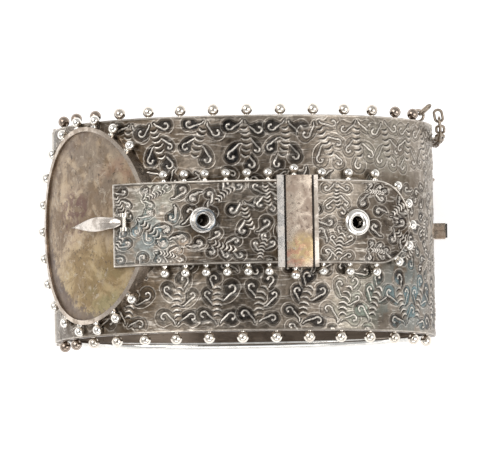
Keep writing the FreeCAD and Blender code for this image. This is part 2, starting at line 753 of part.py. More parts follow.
node(
    box(
        "thumb_cap", (THUMB_OUT + SEAM, -tw + 0.1, MID_Z - th + 0.1),
        (THUMB_OUT + SEAM + END_PLATE, tw - 0.1, MID_Z + th - 0.1),
    ),
    "thumb_end_plate",
)


# ---- the safety chain ----
def loop(name, centre, axis):
    made = doc.addObject("Part::Torus", name)
    made.setExpression("Radius1", "sizes.loop_rad")
    made.setExpression("Radius2", "sizes.loop_wire_rad")
    made.Placement = toward(*centre, axis)
    return made


back_loop_angle = math.radians(72.0)
bx, bz = BACK.point(back_loop_angle, D["loop_rad"] - 0.1)
BACK_LOOP = (bx, 9.5, bz)
over_back = pad_body("over_back", "XZ_Plane", band_edges(BACK, -6, SEAM, -QUARTER, QUARTER), 2 * DEEP)
# the back loop's eye is reamed, so the chain's first link swings on a round face
EYE_REAM = 0.03
eye_ends = (BACK_LOOP[0], BACK_LOOP[1] - 1, BACK_LOOP[2]), (BACK_LOOP[0], BACK_LOOP[1] + 1, BACK_LOOP[2])
loop_eye = rod("back_loop_eye", f"sizes.loop_rad - sizes.loop_wire_rad + {EYE_REAM}", *eye_ends)
back_ring = cut("back_loop_reamed", loop("back_loop_ring", BACK_LOOP, vec(0, 1, 0)), loop_eye)
node(cut("back_loop_seated", back_ring, over_back), "back_chain_loop")
front_loop_angle = FACE.angle_over(30.0)
fx, fz = FACE.point(front_loop_angle, -WALL / 2)
FRONT_LOOP = (fx, HALF_Y + D["loop_rad"] - 0.1, fz)
edge_block = box("edge_block", (-2 * A, -HALF_Y, 0), (2 * A, HALF_Y + SEAM, 3 * B))
loop_normal = vec(math.sin(front_loop_angle), 0, math.cos(front_loop_angle))
loop_tangent = vec(math.cos(front_loop_angle), 0, -math.sin(front_loop_angle))
front_ring = loop("front_loop_ring", FRONT_LOOP, loop_tangent)
node(cut("front_loop_seated", front_ring, edge_block), "front_chain_loop")


def link_shape(length, width, radius):
    """One oval wire link in local XY, long in X; length and width are the wire centre's."""
    straight, bend = (length - width) / 2, width / 2
    path = Part.Wire([
        Part.LineSegment(vec(-straight, bend), vec(straight, bend)).toShape(),
        arc_3((straight, bend), (straight + bend, 0), (straight, -bend)).toShape(),
        Part.LineSegment(vec(straight, -bend), vec(-straight, -bend)).toShape(),
        arc_3((-straight, -bend), (-straight - bend, 0), (-straight, bend)).toShape(),
    ])
    section = Part.Wire([Part.Circle(vec(0, bend), vec(1, 0, 0), radius).toShape()])
    return path.makePipeShell([section], True, True)


WIRE = D["chain_wire_rad"]
LINK_IN = D["link_len"]
LINK_LONG = LINK_IN + 2 * WIRE
LINK_PITCH = LINK_IN - 0.16
one_link = link_shape(LINK_LONG, D["link_width"] + 2 * WIRE, WIRE)
# a threaded link's centre stands this far from the centre of the loop that it runs through
THREADED = D["loop_rad"] - D["loop_wire_rad"] - 0.05 - WIRE + LINK_LONG / 2


def placed_link(middle, along, face_way):
    """A copy of the link at a point, long in one direction and wide in another."""
    copy = one_link.copy()
    turn = FreeCAD.Rotation(along, face_way, along.cross(face_way), "XYZ")
    copy.Placement = FreeCAD.Placement(middle, turn)
    return copy


# a jump ring on the front loop, lying outward from the edge
jump_way = (loop_normal + vec(0, 0.8, 0)).normalize()
jump_middle = vec(*FRONT_LOOP) + jump_way * THREADED
group_node("front_jump_ring", [placed_link(jump_middle, jump_way, loop_tangent)])

# the chain hangs from the back loop nearly to the table, then rises round the edge to the jump ring
first_way = vec(0.25, 0, -1).normalize()
chain_start = vec(*BACK_LOOP) + first_way * (THREADED - LINK_PITCH / 2)
# the last link lies beside the jump ring, outward of it
chain_end = jump_middle + jump_way * (LINK_LONG / 2) + vec(1.3, -1.0, -1.2)
CHAIN_HANG = [
    (A - 0.3, 9.5, 12.5),
    (A - 0.5, 10.3, 7.0),
    (A - 0.6, 13.3, 4.6),
    (A - 0.5, 16.3, 7.0),
    (A - 0.1, 16.8, 13.0),
    (A + 0.9, 15.6, 21.5),
    (A + 1.3, 15.6, 28.5),
    (A + 1.35, 17.2, 34.5),
]
run = Part.BSplineCurve()
run.interpolate([chain_start] + [vec(*p) for p in CHAIN_HANG] + [chain_end])
count = math.ceil(run.length() / LINK_PITCH)
stops = run.discretize(count + 1)
link_shapes = []
for k, (one, two) in enumerate(zip(stops, stops[1:])):
    along = (two - one).normalize()
    # the first link stands across its loop, and every other link is turned a quarter
    outward = (vec(1, 0, 0) - along * along.x).normalize()
    link_shapes.append(placed_link((one + two) * 0.5, along, outward if k % 2 else along.cross(outward)))
group_node("chain_links", link_shapes)
print("chain links", count, "back loop", BACK_LOOP, "prong pivot", pivot_x, pivot_z)

# ---- check and write ----
doc.recompute()
for item in doc.Objects:
    if "Invalid" in item.State or "Error" in item.State:
        raise RuntimeError(f"{item.Label} did not compute: {item.State}")
os.makedirs("parts", exist_ok=True)
for label, made in NODES:
    shape = made.Shape
    if shape.isNull() or not shape.isValid() or not shape.Solids:
        raise RuntimeError(f"{label} has no valid solid")
    print(f"{label:22s} solids {len(shape.Solids):3d} volume {shape.Volume:9.3f}")
    shape.exportStep(f"parts/{label}.step")
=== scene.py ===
import math

import bpy
import numpy as np
from mathutils import Matrix, Vector


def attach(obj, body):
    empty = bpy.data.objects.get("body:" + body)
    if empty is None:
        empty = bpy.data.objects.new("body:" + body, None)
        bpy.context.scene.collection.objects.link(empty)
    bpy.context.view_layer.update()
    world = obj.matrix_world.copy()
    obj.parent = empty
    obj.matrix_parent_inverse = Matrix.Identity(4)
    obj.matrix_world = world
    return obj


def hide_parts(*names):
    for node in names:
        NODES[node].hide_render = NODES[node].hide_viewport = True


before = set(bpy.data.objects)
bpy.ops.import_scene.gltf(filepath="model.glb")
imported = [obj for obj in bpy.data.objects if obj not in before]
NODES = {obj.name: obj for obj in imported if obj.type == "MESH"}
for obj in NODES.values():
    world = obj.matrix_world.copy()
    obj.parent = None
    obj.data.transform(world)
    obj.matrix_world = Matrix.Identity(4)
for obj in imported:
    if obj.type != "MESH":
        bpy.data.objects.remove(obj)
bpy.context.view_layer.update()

MM = 0.001

# ---- the band's shape, in millimetres, as the part's source has it ----
HALF_SPAN, HALF_RISE = 32.0, 27.0
FACE_RADIUS = 50.0
MID_Z = 27.2
# the side arcs end at the band's half span and meet the wide arc in one tangent
DROP = FACE_RADIUS - HALF_RISE
SIDE_RADIUS = (HALF_SPAN**2 + DROP**2 - FACE_RADIUS**2) / (2 * (HALF_SPAN - FACE_RADIUS))
SIDE_X = HALF_SPAN - SIDE_RADIUS
JOIN = math.atan2(SIDE_X, DROP)
FLAT = FACE_RADIUS * JOIN
HALF_WIDTH = 18.0
STRAP_HEIGHT, STRAP_HALF = 2.7, 6.95
STRAP_LEFT, STRAP_SHOULDER, STRAP_TIP = -21.8, 22.2, 27.45
EYELETS = ((-6.8, 0.35), (18.5, -0.2))
KEEPER_X = (5.5, 12.3)
PLATE_MID, PLATE_HALF = (-25.2, 0.6), (9.6, 17.5)
PLATE_DARK_RING = (-24.7, 0.6), (8.4, 15.7)
KEEPER_GROOVES = (6.8, 11.45)


def angle_at(along):
    """Angle from the vertical of points at an arc length from the crown, + to the right."""
    along = np.asarray(along, float)
    side = np.sign(along) * (JOIN + (np.abs(along) - FLAT) / SIDE_RADIUS)
    return np.where(np.abs(along) <= FLAT, along / FACE_RADIUS, side)


def along_at_x(x, offset=0.0):
    """Arc length on the band under the point whose X is x at an offset."""
    if abs(x) <= (FACE_RADIUS + offset) * math.sin(JOIN):
        return FACE_RADIUS * math.asin(x / (FACE_RADIUS + offset))
    side = math.asin((abs(x) - SIDE_X) / (SIDE_RADIUS + offset))
    return math.copysign(FLAT + SIDE_RADIUS * (side - JOIN), x)


def on_band(along, y, offset):
    """Points on the front half of the band as an array of x, y, z in millimetres."""
    angle = angle_at(along)
    s, c = np.sin(angle), np.cos(angle)
    flat = np.abs(angle) <= JOIN
    x = np.where(flat, (FACE_RADIUS + offset) * s, np.sign(angle) * SIDE_X + (SIDE_RADIUS + offset) * s)
    z = np.where(flat, (FACE_RADIUS + offset) * c - DROP, (SIDE_RADIUS + offset) * c)
    return np.stack([x, np.broadcast_to(y, x.shape), MID_Z + z], axis=-1)


# ---- engraving, as heights and masks over a grid ----
def smooth(value, low, high):
    t = np.clip((value - low) / (high - low), 0, 1)
    return t * t * (3 - 2 * t)


def lattice_noise(s, y, cell, seed):
    """Smooth noise in -1..1 with features about a cell across."""
    rng = np.random.default_rng(seed)
    grid = rng.uniform(-1, 1, (256, 256))
    u, v = s / cell + 90.0, y / cell + 90.0
    i, j = np.floor(u).astype(int), np.floor(v).astype(int)
    fu, fv = u - i, v - j
    fu, fv = fu * fu * (3 - 2 * fu), fv * fv * (3 - 2 * fv)
    a, b = grid[i % 256, j % 256], grid[(i + 1) % 256, j % 256]
    c, d = grid[i % 256, (j + 1) % 256], grid[(i + 1) % 256, (j + 1) % 256]
    return (a * (1 - fu) + b * fu) * (1 - fv) + (c * (1 - fu) + d * fu) * fv


def chain_distance(s, y, points, radii):
    """Signed distance to a tapering run of rounded segments."""
    best = np.full(s.shape, 1e9)
    for (x0, y0), (x1, y1), r0, r1 in zip(points, points[1:], radii, radii[1:]):
        dx, dy = x1 - x0, y1 - y0
        t = np.clip(((s - x0) * dx + (y - y0) * dy) / (dx * dx + dy * dy + 1e-9), 0, 1)
        best = np.minimum(best, np.hypot(s - x0 - t * dx, y - y0 - t * dy) - (r0 + (r1 - r0) * t))
    return best


# a sprig's lobes about its middle: head centre, head radius, tail end, way that the hook turns
SPRIG = [
    ((-1.9, 2.2), 0.98, (-0.2, 3.0), 1),
    ((1.95, 1.9), 0.92, (0.3, 2.9), -1),
    ((-1.65, -1.7), 1.0, (-0.3, -0.1), -1),
    ((1.5, -1.0), 0.8, (0.35, 0.6), 1),
    ((0.5, -3.0), 0.92, (0.2, -1.5), 1),
]


class Engraving:
    """What the graver left: fill is dark cut ground (round the eyelets also painted shade), line is bright
    raised cut, groove is a thin dark cut.
    """

    def __init__(self, s, y):
        self.s, self.y = s, y
        self.fill = np.zeros(s.shape)
        self.line = np.zeros(s.shape)
        self.groove = np.zeros(s.shape)
        self.stain = np.zeros(s.shape)
        self.worn = np.zeros(s.shape)

    def add(self, near, **cuts):
        """Lay cuts over what is there, wherever they are stronger."""
        for name, value in cuts.items():
            field = getattr(self, name)
            field[near] = np.maximum(field[near], value)

    def masks(self):
        """The fields that the materials read."""
        return {name: getattr(self, name) for name in ("fill", "line", "groove", "stain", "worn")}

    def lobe(self, centre, radius, tail, turn, depth):
        """A comma-shaped lobe with a contour round it and a bright hook curling inside it."""
        (cx, cy), (tx, ty) = centre, tail
        reach = math.hypot(tx - cx, ty - cy) + radius + 0.6
        near = np.hypot(self.s - cx, self.y - cy) < reach
        if not near.any():
            return
        s, y = self.s[near], self.y[near]
        back = math.atan2(ty - cy, tx - cx)
        lean = 0.42 * turn
        middle = (cx + 0.55 * (tx - cx) + lean * (ty - cy), cy + 0.55 * (ty - cy) - lean * (tx - cx))
        steps = [k / 8 for k in range(9)]
        body = [bend((centre, middle, tail), t) for t in steps]
        d = chain_distance(s, y, body, [radius * (1 - 0.9 * t**0.8) for t in steps])
        # the hook runs in along the tail's outer side and curls round the far side of the head
        hook = [tail, bend((centre, middle, tail), 0.8)]
        for k in range(13):
            t = k / 12
            a = back - turn * (0.75 + 4.1 * t)
            r = radius * (0.66 - 0.42 * t)
            hook.append((cx + r * math.cos(a), cy + r * math.sin(a)))
        curl = chain_distance(s, y, hook, [0.03, 0.05] + [0.07] * 12 + [0.17])
        # what is cut later covers what is under it
        inside = smooth(-d, -0.1, 0.05)
        for field in (self.fill, self.line, self.groove):
            field[near] *= 1 - inside
        self.add(near, fill=depth * smooth(-d, -0.04, 0.16))
        self.add(near, line=0.42 * smooth(-np.abs(d - 0.27), -0.1, -0.02))
        self.add(near, groove=0.85 * smooth(-np.abs(d - 0.1), -0.1, -0.03))
        self.add(near, line=smooth(-curl, -0.07, 0.02), groove=smooth(-np.abs(curl - 0.13), -0.09, -0.02))

    def spine(self, points, half, count):
        """A row of short crescents across a curved line."""
        near = np.hypot(self.s - points[1][0], self.y - points[1][1]) < 8 * half
        if not near.any():
            return
        s, y = self.s[near], self.y[near]
        path = [bend(points, k / 6) for k in range(7)]
        apart = smooth(chain_distance(s, y, path, [half * 0.95] * 7), 0.0, 0.2)
        for field in (self.fill, self.line, self.groove):
            field[near] *= apart
        for k in range(count):
            t = k / (count - 1)
            x0, y0 = bend(points, t)
            x1, y1 = bend(points, min(1, t + 0.02))
            x2, y2 = bend(points, max(0, t - 0.02))
            way = math.atan2(y1 - y2, x1 - x2)
            ux, uy = math.cos(way), math.sin(way)
            wide = half * (0.6 + 0.5 * math.sin(math.pi * (0.15 + 0.7 * t)))
            arc = [
                (x0 - uy * wide * q - ux * 0.34 * (1 - q * q), y0 + ux * wide * q - uy * 0.34 * (1 - q * q))
                for q in (-1, -0.5, 0, 0.5, 1)
            ]
            d = chain_distance(s, y, arc, [0.03, 0.08, 0.11, 0.08, 0.03])
            shadow = chain_distance(s - 0.24 * ux, y - 0.24 * uy, arc, [0.03, 0.12, 0.16, 0.12, 0.03])
            self.add(near, groove=smooth(-shadow, -0.08, 0.02))
            self.add(near, line=smooth(-d, -0.06, 0.03))

    def motif(self, rng, at, turned, scale, mirror, depth=1.0):
        """One sprig: a spine of crescents with curling lobes at both ends."""
        c, s = math.cos(turned), math.sin(turned)

        def put(p):
            x, y = p[0] * scale * mirror, p[1] * scale
            return at[0] + c * x - s * y, at[1] + s * x + c * y

        def shaken(p, by=0.22):
            return p[0] + rng.uniform(-by, by), p[1] + rng.uniform(-by, by)

        for centre, radius, tail, turn in SPRIG:
            if rng.uniform() < 0.1:
                continue
            size = radius * scale * rng.uniform(0.88, 1.12)
            head, end = put(shaken(centre)), put(shaken(tail, 0.12))
            self.lobe(head, size, end, turn * mirror, depth * rng.uniform(0.7, 1))
        sway = rng.uniform(-0.6, 0.6)
        self.spine([put((0.0, -1.7)), put((sway, 0.3)), put((0.1, 1.9))], 0.58 * scale, 6)

    def scatter(self, rng, count, room, radius, depth):
        """Single lobes in the gaps that the sprigs leave."""
        for _ in range(count):
            at = rng.uniform(self.s.min(), self.s.max()), rng.uniform(self.y.min(), self.y.max())
            size = radius * rng.uniform(0.75, 1.15)
            near = np.hypot(self.s - at[0], self.y - at[1]) < size + room
            way = rng.uniform(0, 2 * math.pi)
            if (self.fill[near] > 0.2).any() or (self.groove[near] > 0.6).any():
                continue
            tail = at[0] + 2.1 * size * math.cos(way), at[1] + 2.1 * size * math.sin(way)
            self.lobe(at, size, tail, rng.choice([-1, 1]), depth * rng.uniform(0.6, 1))

    def clouds(self, cell, fine_cell, seed):
        """Uneven strength of grime and painted shade, about 0.5 on average."""
        coarse = lattice_noise(self.s, self.y, cell, seed)
        return 0.5 + 0.7 * coarse + 0.3 * lattice_noise(self.s, self.y, fine_cell, seed + 1)

    def patches(self, cell, fine_cell, seed):
        """Uneven wear, about 0 on average."""
        coarse = lattice_noise(self.s, self.y, cell, seed)
        return 0.2 * coarse + 0.15 * lattice_noise(self.s, self.y, fine_cell, seed + 1)

    def height(self):
        """Height over the ground in millimetres."""
        rough = 0.022 * lattice_noise(self.s, self.y, 0.9, 3) + 0.012 * lattice_noise(self.s, self.y, 0.35, 4)
        return rough - 0.09 * self.fill + 0.11 * self.line - 0.09 * self.groove * (1 - self.line)


def bend(points, t):
    """Point at a share t of the way along a curve that three points steer."""
    (x0, y0), (x1, y1), (x2, y2) = points
    return (
        (1 - t) ** 2 * x0 + 2 * t * (1 - t) * x1 + t * t * x2,
        (1 - t) ** 2 * y0 + 2 * t * (1 - t) * y1 + t * t * y2,
    )


def add_object(name, data):
    """A new object of a mesh, lamp or camera, linked to the scene."""
    obj = bpy.data.objects.new(name, data)
    bpy.context.scene.collection.objects.link(obj)
    return obj


# how far the skirt under a skin's rim reaches down
SKIRT = 0.3


def grid_mesh(name, points, masks, drop=None):
    """A grid of points (millimetres) as a smooth mesh with a skirt under its rim and masks as attributes."""
    rows, cols = points.shape[:2]
    index = np.arange(rows * cols).reshape(rows, cols)
    quads = np.stack([index[:-1, :-1], index[1:, :-1], index[1:, 1:], index[:-1, 1:]], axis=-1).reshape(-1, 4)
    if drop is not None:
        gone = (drop[:-1, :-1] | drop[1:, :-1] | drop[1:, 1:] | drop[:-1, 1:]).reshape(-1)
        quads = quads[~gone]
    across = np.cross(np.gradient(points, axis=0), np.gradient(points, axis=1))
    normals = across / (np.linalg.norm(across, axis=-1, keepdims=True) + 1e-12)
    rim = np.concatenate([index[:, 0], index[-1, 1:], index[-2::-1, -1], index[0, -2:0:-1]])
    flat = points.reshape(-1, 3)
    under = flat[rim] - SKIRT * normals.reshape(-1, 3)[rim]
    all_points = np.concatenate([flat, under]) * MM
    start = rows * cols
    n = len(rim)
    near, far = np.arange(n), (np.arange(n) + 1) % n
    skirt = np.stack([rim[near], rim[far], start + far, start + near], axis=-1)
    faces = np.concatenate([quads, skirt])
    mesh = bpy.data.meshes.new(name)
    mesh.vertices.add(len(all_points))
    mesh.vertices.foreach_set("co", all_points.astype(np.float32).ravel())
    mesh.loops.add(len(faces) * 4)
    mesh.loops.foreach_set("vertex_index", faces.astype(np.int32).ravel())
    mesh.polygons.add(len(faces))
    mesh.polygons.foreach_set("loop_start", np.arange(0, len(faces) * 4, 4, dtype=np.int32))
    mesh.update(calc_edges=True)
    mesh.validate()
    mesh.polygons.foreach_set("use_smooth", np.ones(len(mesh.polygons), bool))
    for key, values in masks.items():
        layer = mesh.attributes.new(key, "FLOAT", "POINT")
        full = np.concatenate([values.reshape(-1), values.reshape(-1)[rim]]).astype(np.float32)
        layer.data.foreach_set("value", full)
    return add_object(name, mesh)


# ---- node helpers ----
class Tree:
    """Short names for building one material's nodes."""

    def __init__(self, name):
        self.material = bpy.data.materials.new(name)
        self.material.use_nodes = True
        self.nodes = self.material.node_tree.nodes
        self.links = self.material.node_tree.links
        self.shader = next(n for n in self.nodes if n.type == "BSDF_PRINCIPLED")
        self.coords = self.nodes.new("ShaderNodeTexCoord").outputs["Object"]

    def link(self, value, socket):
        if hasattr(value, "is_output"):
            self.links.new(value, socket)
        elif isinstance(value, (tuple, list)) and len(value) == 3 and socket.type == "RGBA":
            socket.default_value = (*value, 1)
        else:
            socket.default_value = value

    def noise(self, scale, detail=4.0, rough=0.55, stretch=None, twist=0.0):
        node = self.nodes.new("ShaderNodeTexNoise")
        node.inputs["Scale"].default_value = scale
        node.inputs["Detail"].default_value = detail
        node.inputs["Roughness"].default_value = rough
        node.inputs["Distortion"].default_value = twist
        source = self.coords
        if stretch:
            mapping = self.nodes.new("ShaderNodeMapping")
            mapping.inputs["Scale"].default_value = stretch
            self.links.new(source, mapping.inputs["Vector"])
            source = mapping.outputs["Vector"]
        self.links.new(source, node.inputs["Vector"])
        return node.outputs["Fac"]

    def ramp(self, value, low, high, start=0.0, end=1.0):
        node = self.nodes.new("ShaderNodeMapRange")
        node.interpolation_type = "SMOOTHSTEP"
        node.inputs["From Min"].default_value = low
        node.inputs["From Max"].default_value = high
        node.inputs["To Min"].default_value = start
        node.inputs["To Max"].default_value = end
        self.links.new(value, node.inputs["Value"])
        return node.outputs["Result"]

    def math(self, kind, a, b):
        node = self.nodes.new("ShaderNodeMath")
        node.operation = kind
        node.use_clamp = kind in ("ADD", "MULTIPLY", "SUBTRACT")
        self.link(a, node.inputs[0])
        self.link(b, node.inputs[1])
        return node.outputs[0]

    def mix(self, factor, a, b, kind="MIX"):
        node = self.nodes.new("ShaderNodeMix")
        node.data_type = "RGBA"
        node.blend_type = kind
        self.link(factor, node.inputs["Factor"])
        self.link(a, node.inputs[6])
        self.link(b, node.inputs[7])
        return node.outputs[2]

    def attribute(self, name):
        node = self.nodes.new("ShaderNodeAttribute")
        node.attribute_name = name
        return node.outputs["Fac"]

    def blob(self, centre, radius, soft):
        """1 inside a ball at a point in millimetres, 0 outside it."""
        node = self.nodes.new("ShaderNodeVectorMath")
        node.operation = "DISTANCE"
        self.links.new(self.coords, node.inputs[0])
        node.inputs[1].default_value = tuple(c * MM for c in centre)
        return self.ramp(node.outputs["Value"], (radius - soft) * MM, (radius + soft) * MM, 1.0, 0.0)

    def plan_ring(self, middle, half):
        """Distance from a point in plan, as a share of an ellipse's half widths, all in millimetres."""
        mapping = self.nodes.new("ShaderNodeMapping")
        mapping.inputs["Location"].default_value = (-middle[0] / half[0], -middle[1] / half[1], 0)
        mapping.inputs["Scale"].default_value = (1 / (half[0] * MM), 1 / (half[1] * MM), 0)
        self.links.new(self.coords, mapping.inputs["Vector"])
        length = self.nodes.new("ShaderNodeVectorMath")
        length.operation = "LENGTH"
        self.links.new(mapping.outputs["Vector"], length.inputs[0])
        return length.outputs["Value"]

    def near_x(self, x, half):
        """1 within a half width of a plane across X, in millimetres, else 0."""
        split = self.nodes.new("ShaderNodeSeparateXYZ")
        self.links.new(self.coords, split.inputs[0])
        gap = self.nodes.new("ShaderNodeMath")
        gap.operation = "SUBTRACT"
        self.links.new(split.outputs["X"], gap.inputs[0])
        gap.inputs[1].default_value = x * MM
        size = self.nodes.new("ShaderNodeMath")
        size.operation = "ABSOLUTE"
        self.links.new(gap.outputs[0], size.inputs[0])
        return self.ramp(size.outputs[0], half * MM, (half + 0.06) * MM, 1.0, 0.0)

    def bump(self, value, strength, distance):
        node = self.nodes.new("ShaderNodeBump")
        node.inputs["Strength"].default_value = strength
        node.inputs["Distance"].default_value = distance
        self.links.new(value, node.inputs["Height"])
        self.links.new(node.outputs["Normal"], self.shader.inputs["Normal"])

    def finish(self, colour, rough, metal):
        self.link(colour, self.shader.inputs["Base Color"])
        self.link(rough, self.shader.inputs["Roughness"])
        self.shader.inputs["Metallic"].default_value = metal
        return self.material


SILVER_LIGHT = (0.82, 0.755, 0.675)
SILVER_WORN = (0.36, 0.308, 0.252)
SILVER_WARM = (0.15, 0.12, 0.092)
SILVER_BROWN = (0.055, 0.04, 0.028)
OXIDE = (0.006, 0.0065, 0.0075)
OXIDE_PALE = (0.05, 0.048, 0.047)
GRIME_AND_SHADE = (0.075, 0.05, 0.028)
TEAL = (0.16, 0.25, 0.27)
BAND_GROUND = (0.185, 0.150, 0.116)
STRAP_GROUND = (0.158, 0.128, 0.099)


def engraved_material(name, tints, light):
    """Oxidised engraved silver: worn warm ground, dark cuts, bright lines, stains and blue-green tarnish."""
    t = Tree(name)
    cloud = t.ramp(t.noise(160, 5, 0.6), 0.36, 0.66)
    grain = t.ramp(t.noise(1500, 4, 0.65), 0.35, 0.7)
    scratch = t.ramp(t.noise(900, 3, 0.6, stretch=(0.25, 2.2, 1.0), twist=0.6), 0.52, 0.68)
    ground = t.mix(cloud, SILVER_BROWN, light)
    ground = t.mix(t.math("MULTIPLY", grain, 0.45), ground, SILVER_WARM)
    worn = t.math("MULTIPLY", t.attribute("worn"), t.ramp(cloud, 0.0, 1.0, 0.55, 0.95))
    ground = t.mix(worn, ground, SILVER_WORN)
    ground = t.mix(t.math("MULTIPLY", scratch, 0.45), ground, SILVER_LIGHT)
    cross = t.ramp(t.noise(1300, 3, 0.6, stretch=(2.0, 0.3, 1.0), twist=0.8), 0.56, 0.7)
    ground = t.mix(t.math("MULTIPLY", cross, 0.45), ground, (0.12, 0.10, 0.085))
    # the stain mask darkens the ground: real grime, and painted shade beside the strap, the buckle, the
    # keeper and the eyelets
    ground = t.mix(t.math("MULTIPLY", t.attribute("stain"), 0.8), ground, GRIME_AND_SHADE)
    fill = t.attribute("fill")
    speck = t.ramp(t.noise(2600, 3, 0.6), 0.4, 0.62)
    cut = t.mix(t.math("MULTIPLY", speck, 0.5), OXIDE, OXIDE_PALE)
    for centre, radius, colour in tints:
        broken = t.ramp(t.noise(420, 3, 0.5), 0.38, 0.55)
        patch = t.math("MULTIPLY", t.blob(centre, radius, radius * 0.5), broken)
        cut = t.mix(t.math("MULTIPLY", patch, 0.9), cut, colour)
        ground = t.mix(t.math("MULTIPLY", patch, 0.3), ground, colour)
    colour = t.mix(t.math("MULTIPLY", fill, 0.97), ground, cut)
    colour = t.mix(t.math("MULTIPLY", t.attribute("groove"), 0.85), colour, (0.012, 0.01, 0.009))
    line = t.math("MULTIPLY", t.attribute("line"), t.ramp(t.noise(700, 3, 0.5), 0.3, 0.55, 0.45, 1.0))
    colour = t.mix(t.math("MULTIPLY", line, 0.9), colour, SILVER_LIGHT)
    rough = t.ramp(grain, 0.0, 1.0, 0.3, 0.52)
    t.bump(t.noise(2200, 4, 0.6), 0.4, 0.00007)
    return t.finish(colour, rough, 1.0)


def plain_material(name, light, dark, rough=(0.12, 0.3), scale=500, metal=1.0, stain=0.5, bump=0.15):
    """Worn silver with cloudy tarnish, fine scratches and darker specks."""
    t = Tree(name)
    cloud = t.ramp(t.noise(scale, 4, 0.6), 0.38, 0.66)
    speck = t.ramp(t.noise(scale * 5, 3, 0.6), 0.6, 0.74)
    scratch = t.ramp(t.noise(scale * 3, 3, 0.6, stretch=(0.3, 2.0, 1.0), twist=0.5), 0.55, 0.72)
    colour = t.mix(t.math("MULTIPLY", cloud, stain), light, dark)
    colour = t.mix(t.math("MULTIPLY", speck, 0.6), colour, tuple(c * 0.4 for c in dark))
    colour = t.mix(t.math("MULTIPLY", scratch, 0.35), colour, tuple(min(1.0, c * 1.25) for c in light))
    t.bump(t.noise(scale * 2.5, 4, 0.6), bump, 0.00005)
    return t.finish(colour, t.ramp(cloud, 0.0, 1.0, rough[0], rough[1]), metal)


def plate_material(name):
    """The buckle's face: a thin gilt wash worn to mottled golden brown, greyer above and olive below."""
    t = Tree(name)
    mottle = t.ramp(t.noise(900, 6, 0.75), 0.4, 0.62)
    cloud = t.ramp(t.noise(240, 5, 0.65, twist=0.5), 0.42, 0.6)
    colour = t.mix(cloud, (0.21, 0.145, 0.09), (0.45, 0.345, 0.235))
    gold = t.blob((-26.0, -13.0, 46.0), 11.0, 3.0)
    gilt = t.mix(cloud, (0.27, 0.185, 0.085), (0.43, 0.32, 0.165))
    colour = t.mix(t.math("MULTIPLY", gold, 0.8), colour, gilt)
    grey = t.math("MULTIPLY", t.blob((-25.0, 13.0, 46.0), 8.5, 4.0), t.ramp(t.noise(360, 4), 0.35, 0.6))
    colour = t.mix(t.math("MULTIPLY", grey, 0.6), colour, (0.25, 0.205, 0.165))
    green = t.math("MULTIPLY", t.blob((-23.0, -13.0, 49.0), 5.0, 3.0), t.ramp(t.noise(300, 3), 0.4, 0.6))
    colour = t.mix(t.math("MULTIPLY", green, 0.45), colour, (0.25, 0.25, 0.13))
    rose = t.math("MULTIPLY", t.blob((-20.0, 7.0, 50.5), 5.0, 2.5), t.ramp(t.noise(260, 3), 0.42, 0.6))
    colour = t.mix(t.math("MULTIPLY", rose, 0.55), colour, (0.33, 0.19, 0.13))
    pale = t.ramp(t.noise(620, 5, 0.75, twist=0.8), 0.56, 0.64)
    colour = t.mix(t.math("MULTIPLY", pale, 0.6), colour, (0.50, 0.43, 0.34))
    streak = t.ramp(t.noise(800, 4, 0.6, stretch=(1.0, 0.35, 1.0)), 0.5, 0.7)
    colour = t.mix(t.math("MULTIPLY", streak, 0.25), colour, (0.50, 0.43, 0.35))
    dark = t.ramp(t.noise(1500, 5, 0.75), 0.55, 0.64)
    speckled = t.math("MULTIPLY", dark, t.ramp(t.noise(200, 3), 0.35, 0.6, 0.25, 1.0))
    colour = t.mix(t.math("MULTIPLY", speckled, 0.85), colour, (0.075, 0.055, 0.045))
    stained = t.ramp(t.noise(420, 5, 0.7, twist=1.0), 0.49, 0.56)
    wine = t.math("MULTIPLY", t.blob((-29.5, 2.5, 43.0), 4.6, 1.6), stained)
    colour = t.mix(t.math("MULTIPLY", wine, 0.75), colour, (0.14, 0.075, 0.065))
    # a purple-grey ring darkens the plate just inside the bezel, widest below
    uneven = t.math("MULTIPLY", mottle, 0.09)
    rim = t.ramp(t.math("ADD", t.plan_ring(*PLATE_DARK_RING), uneven), 0.93, 1.03)
    low = t.blob((-26.0, -12.0, 44.0), 15.0, 6.0)
    strength = t.math("ADD", t.math("MULTIPLY", low, 0.55), 0.3)
    colour = t.mix(t.math("MULTIPLY", rim, strength), colour, (0.12, 0.095, 0.10))
    t.bump(t.noise(1100, 6, 0.75), 0.6, 0.0001)
    return t.finish(colour, t.ramp(mottle, 0.0, 1.0, 0.36, 0.55), 0.7)


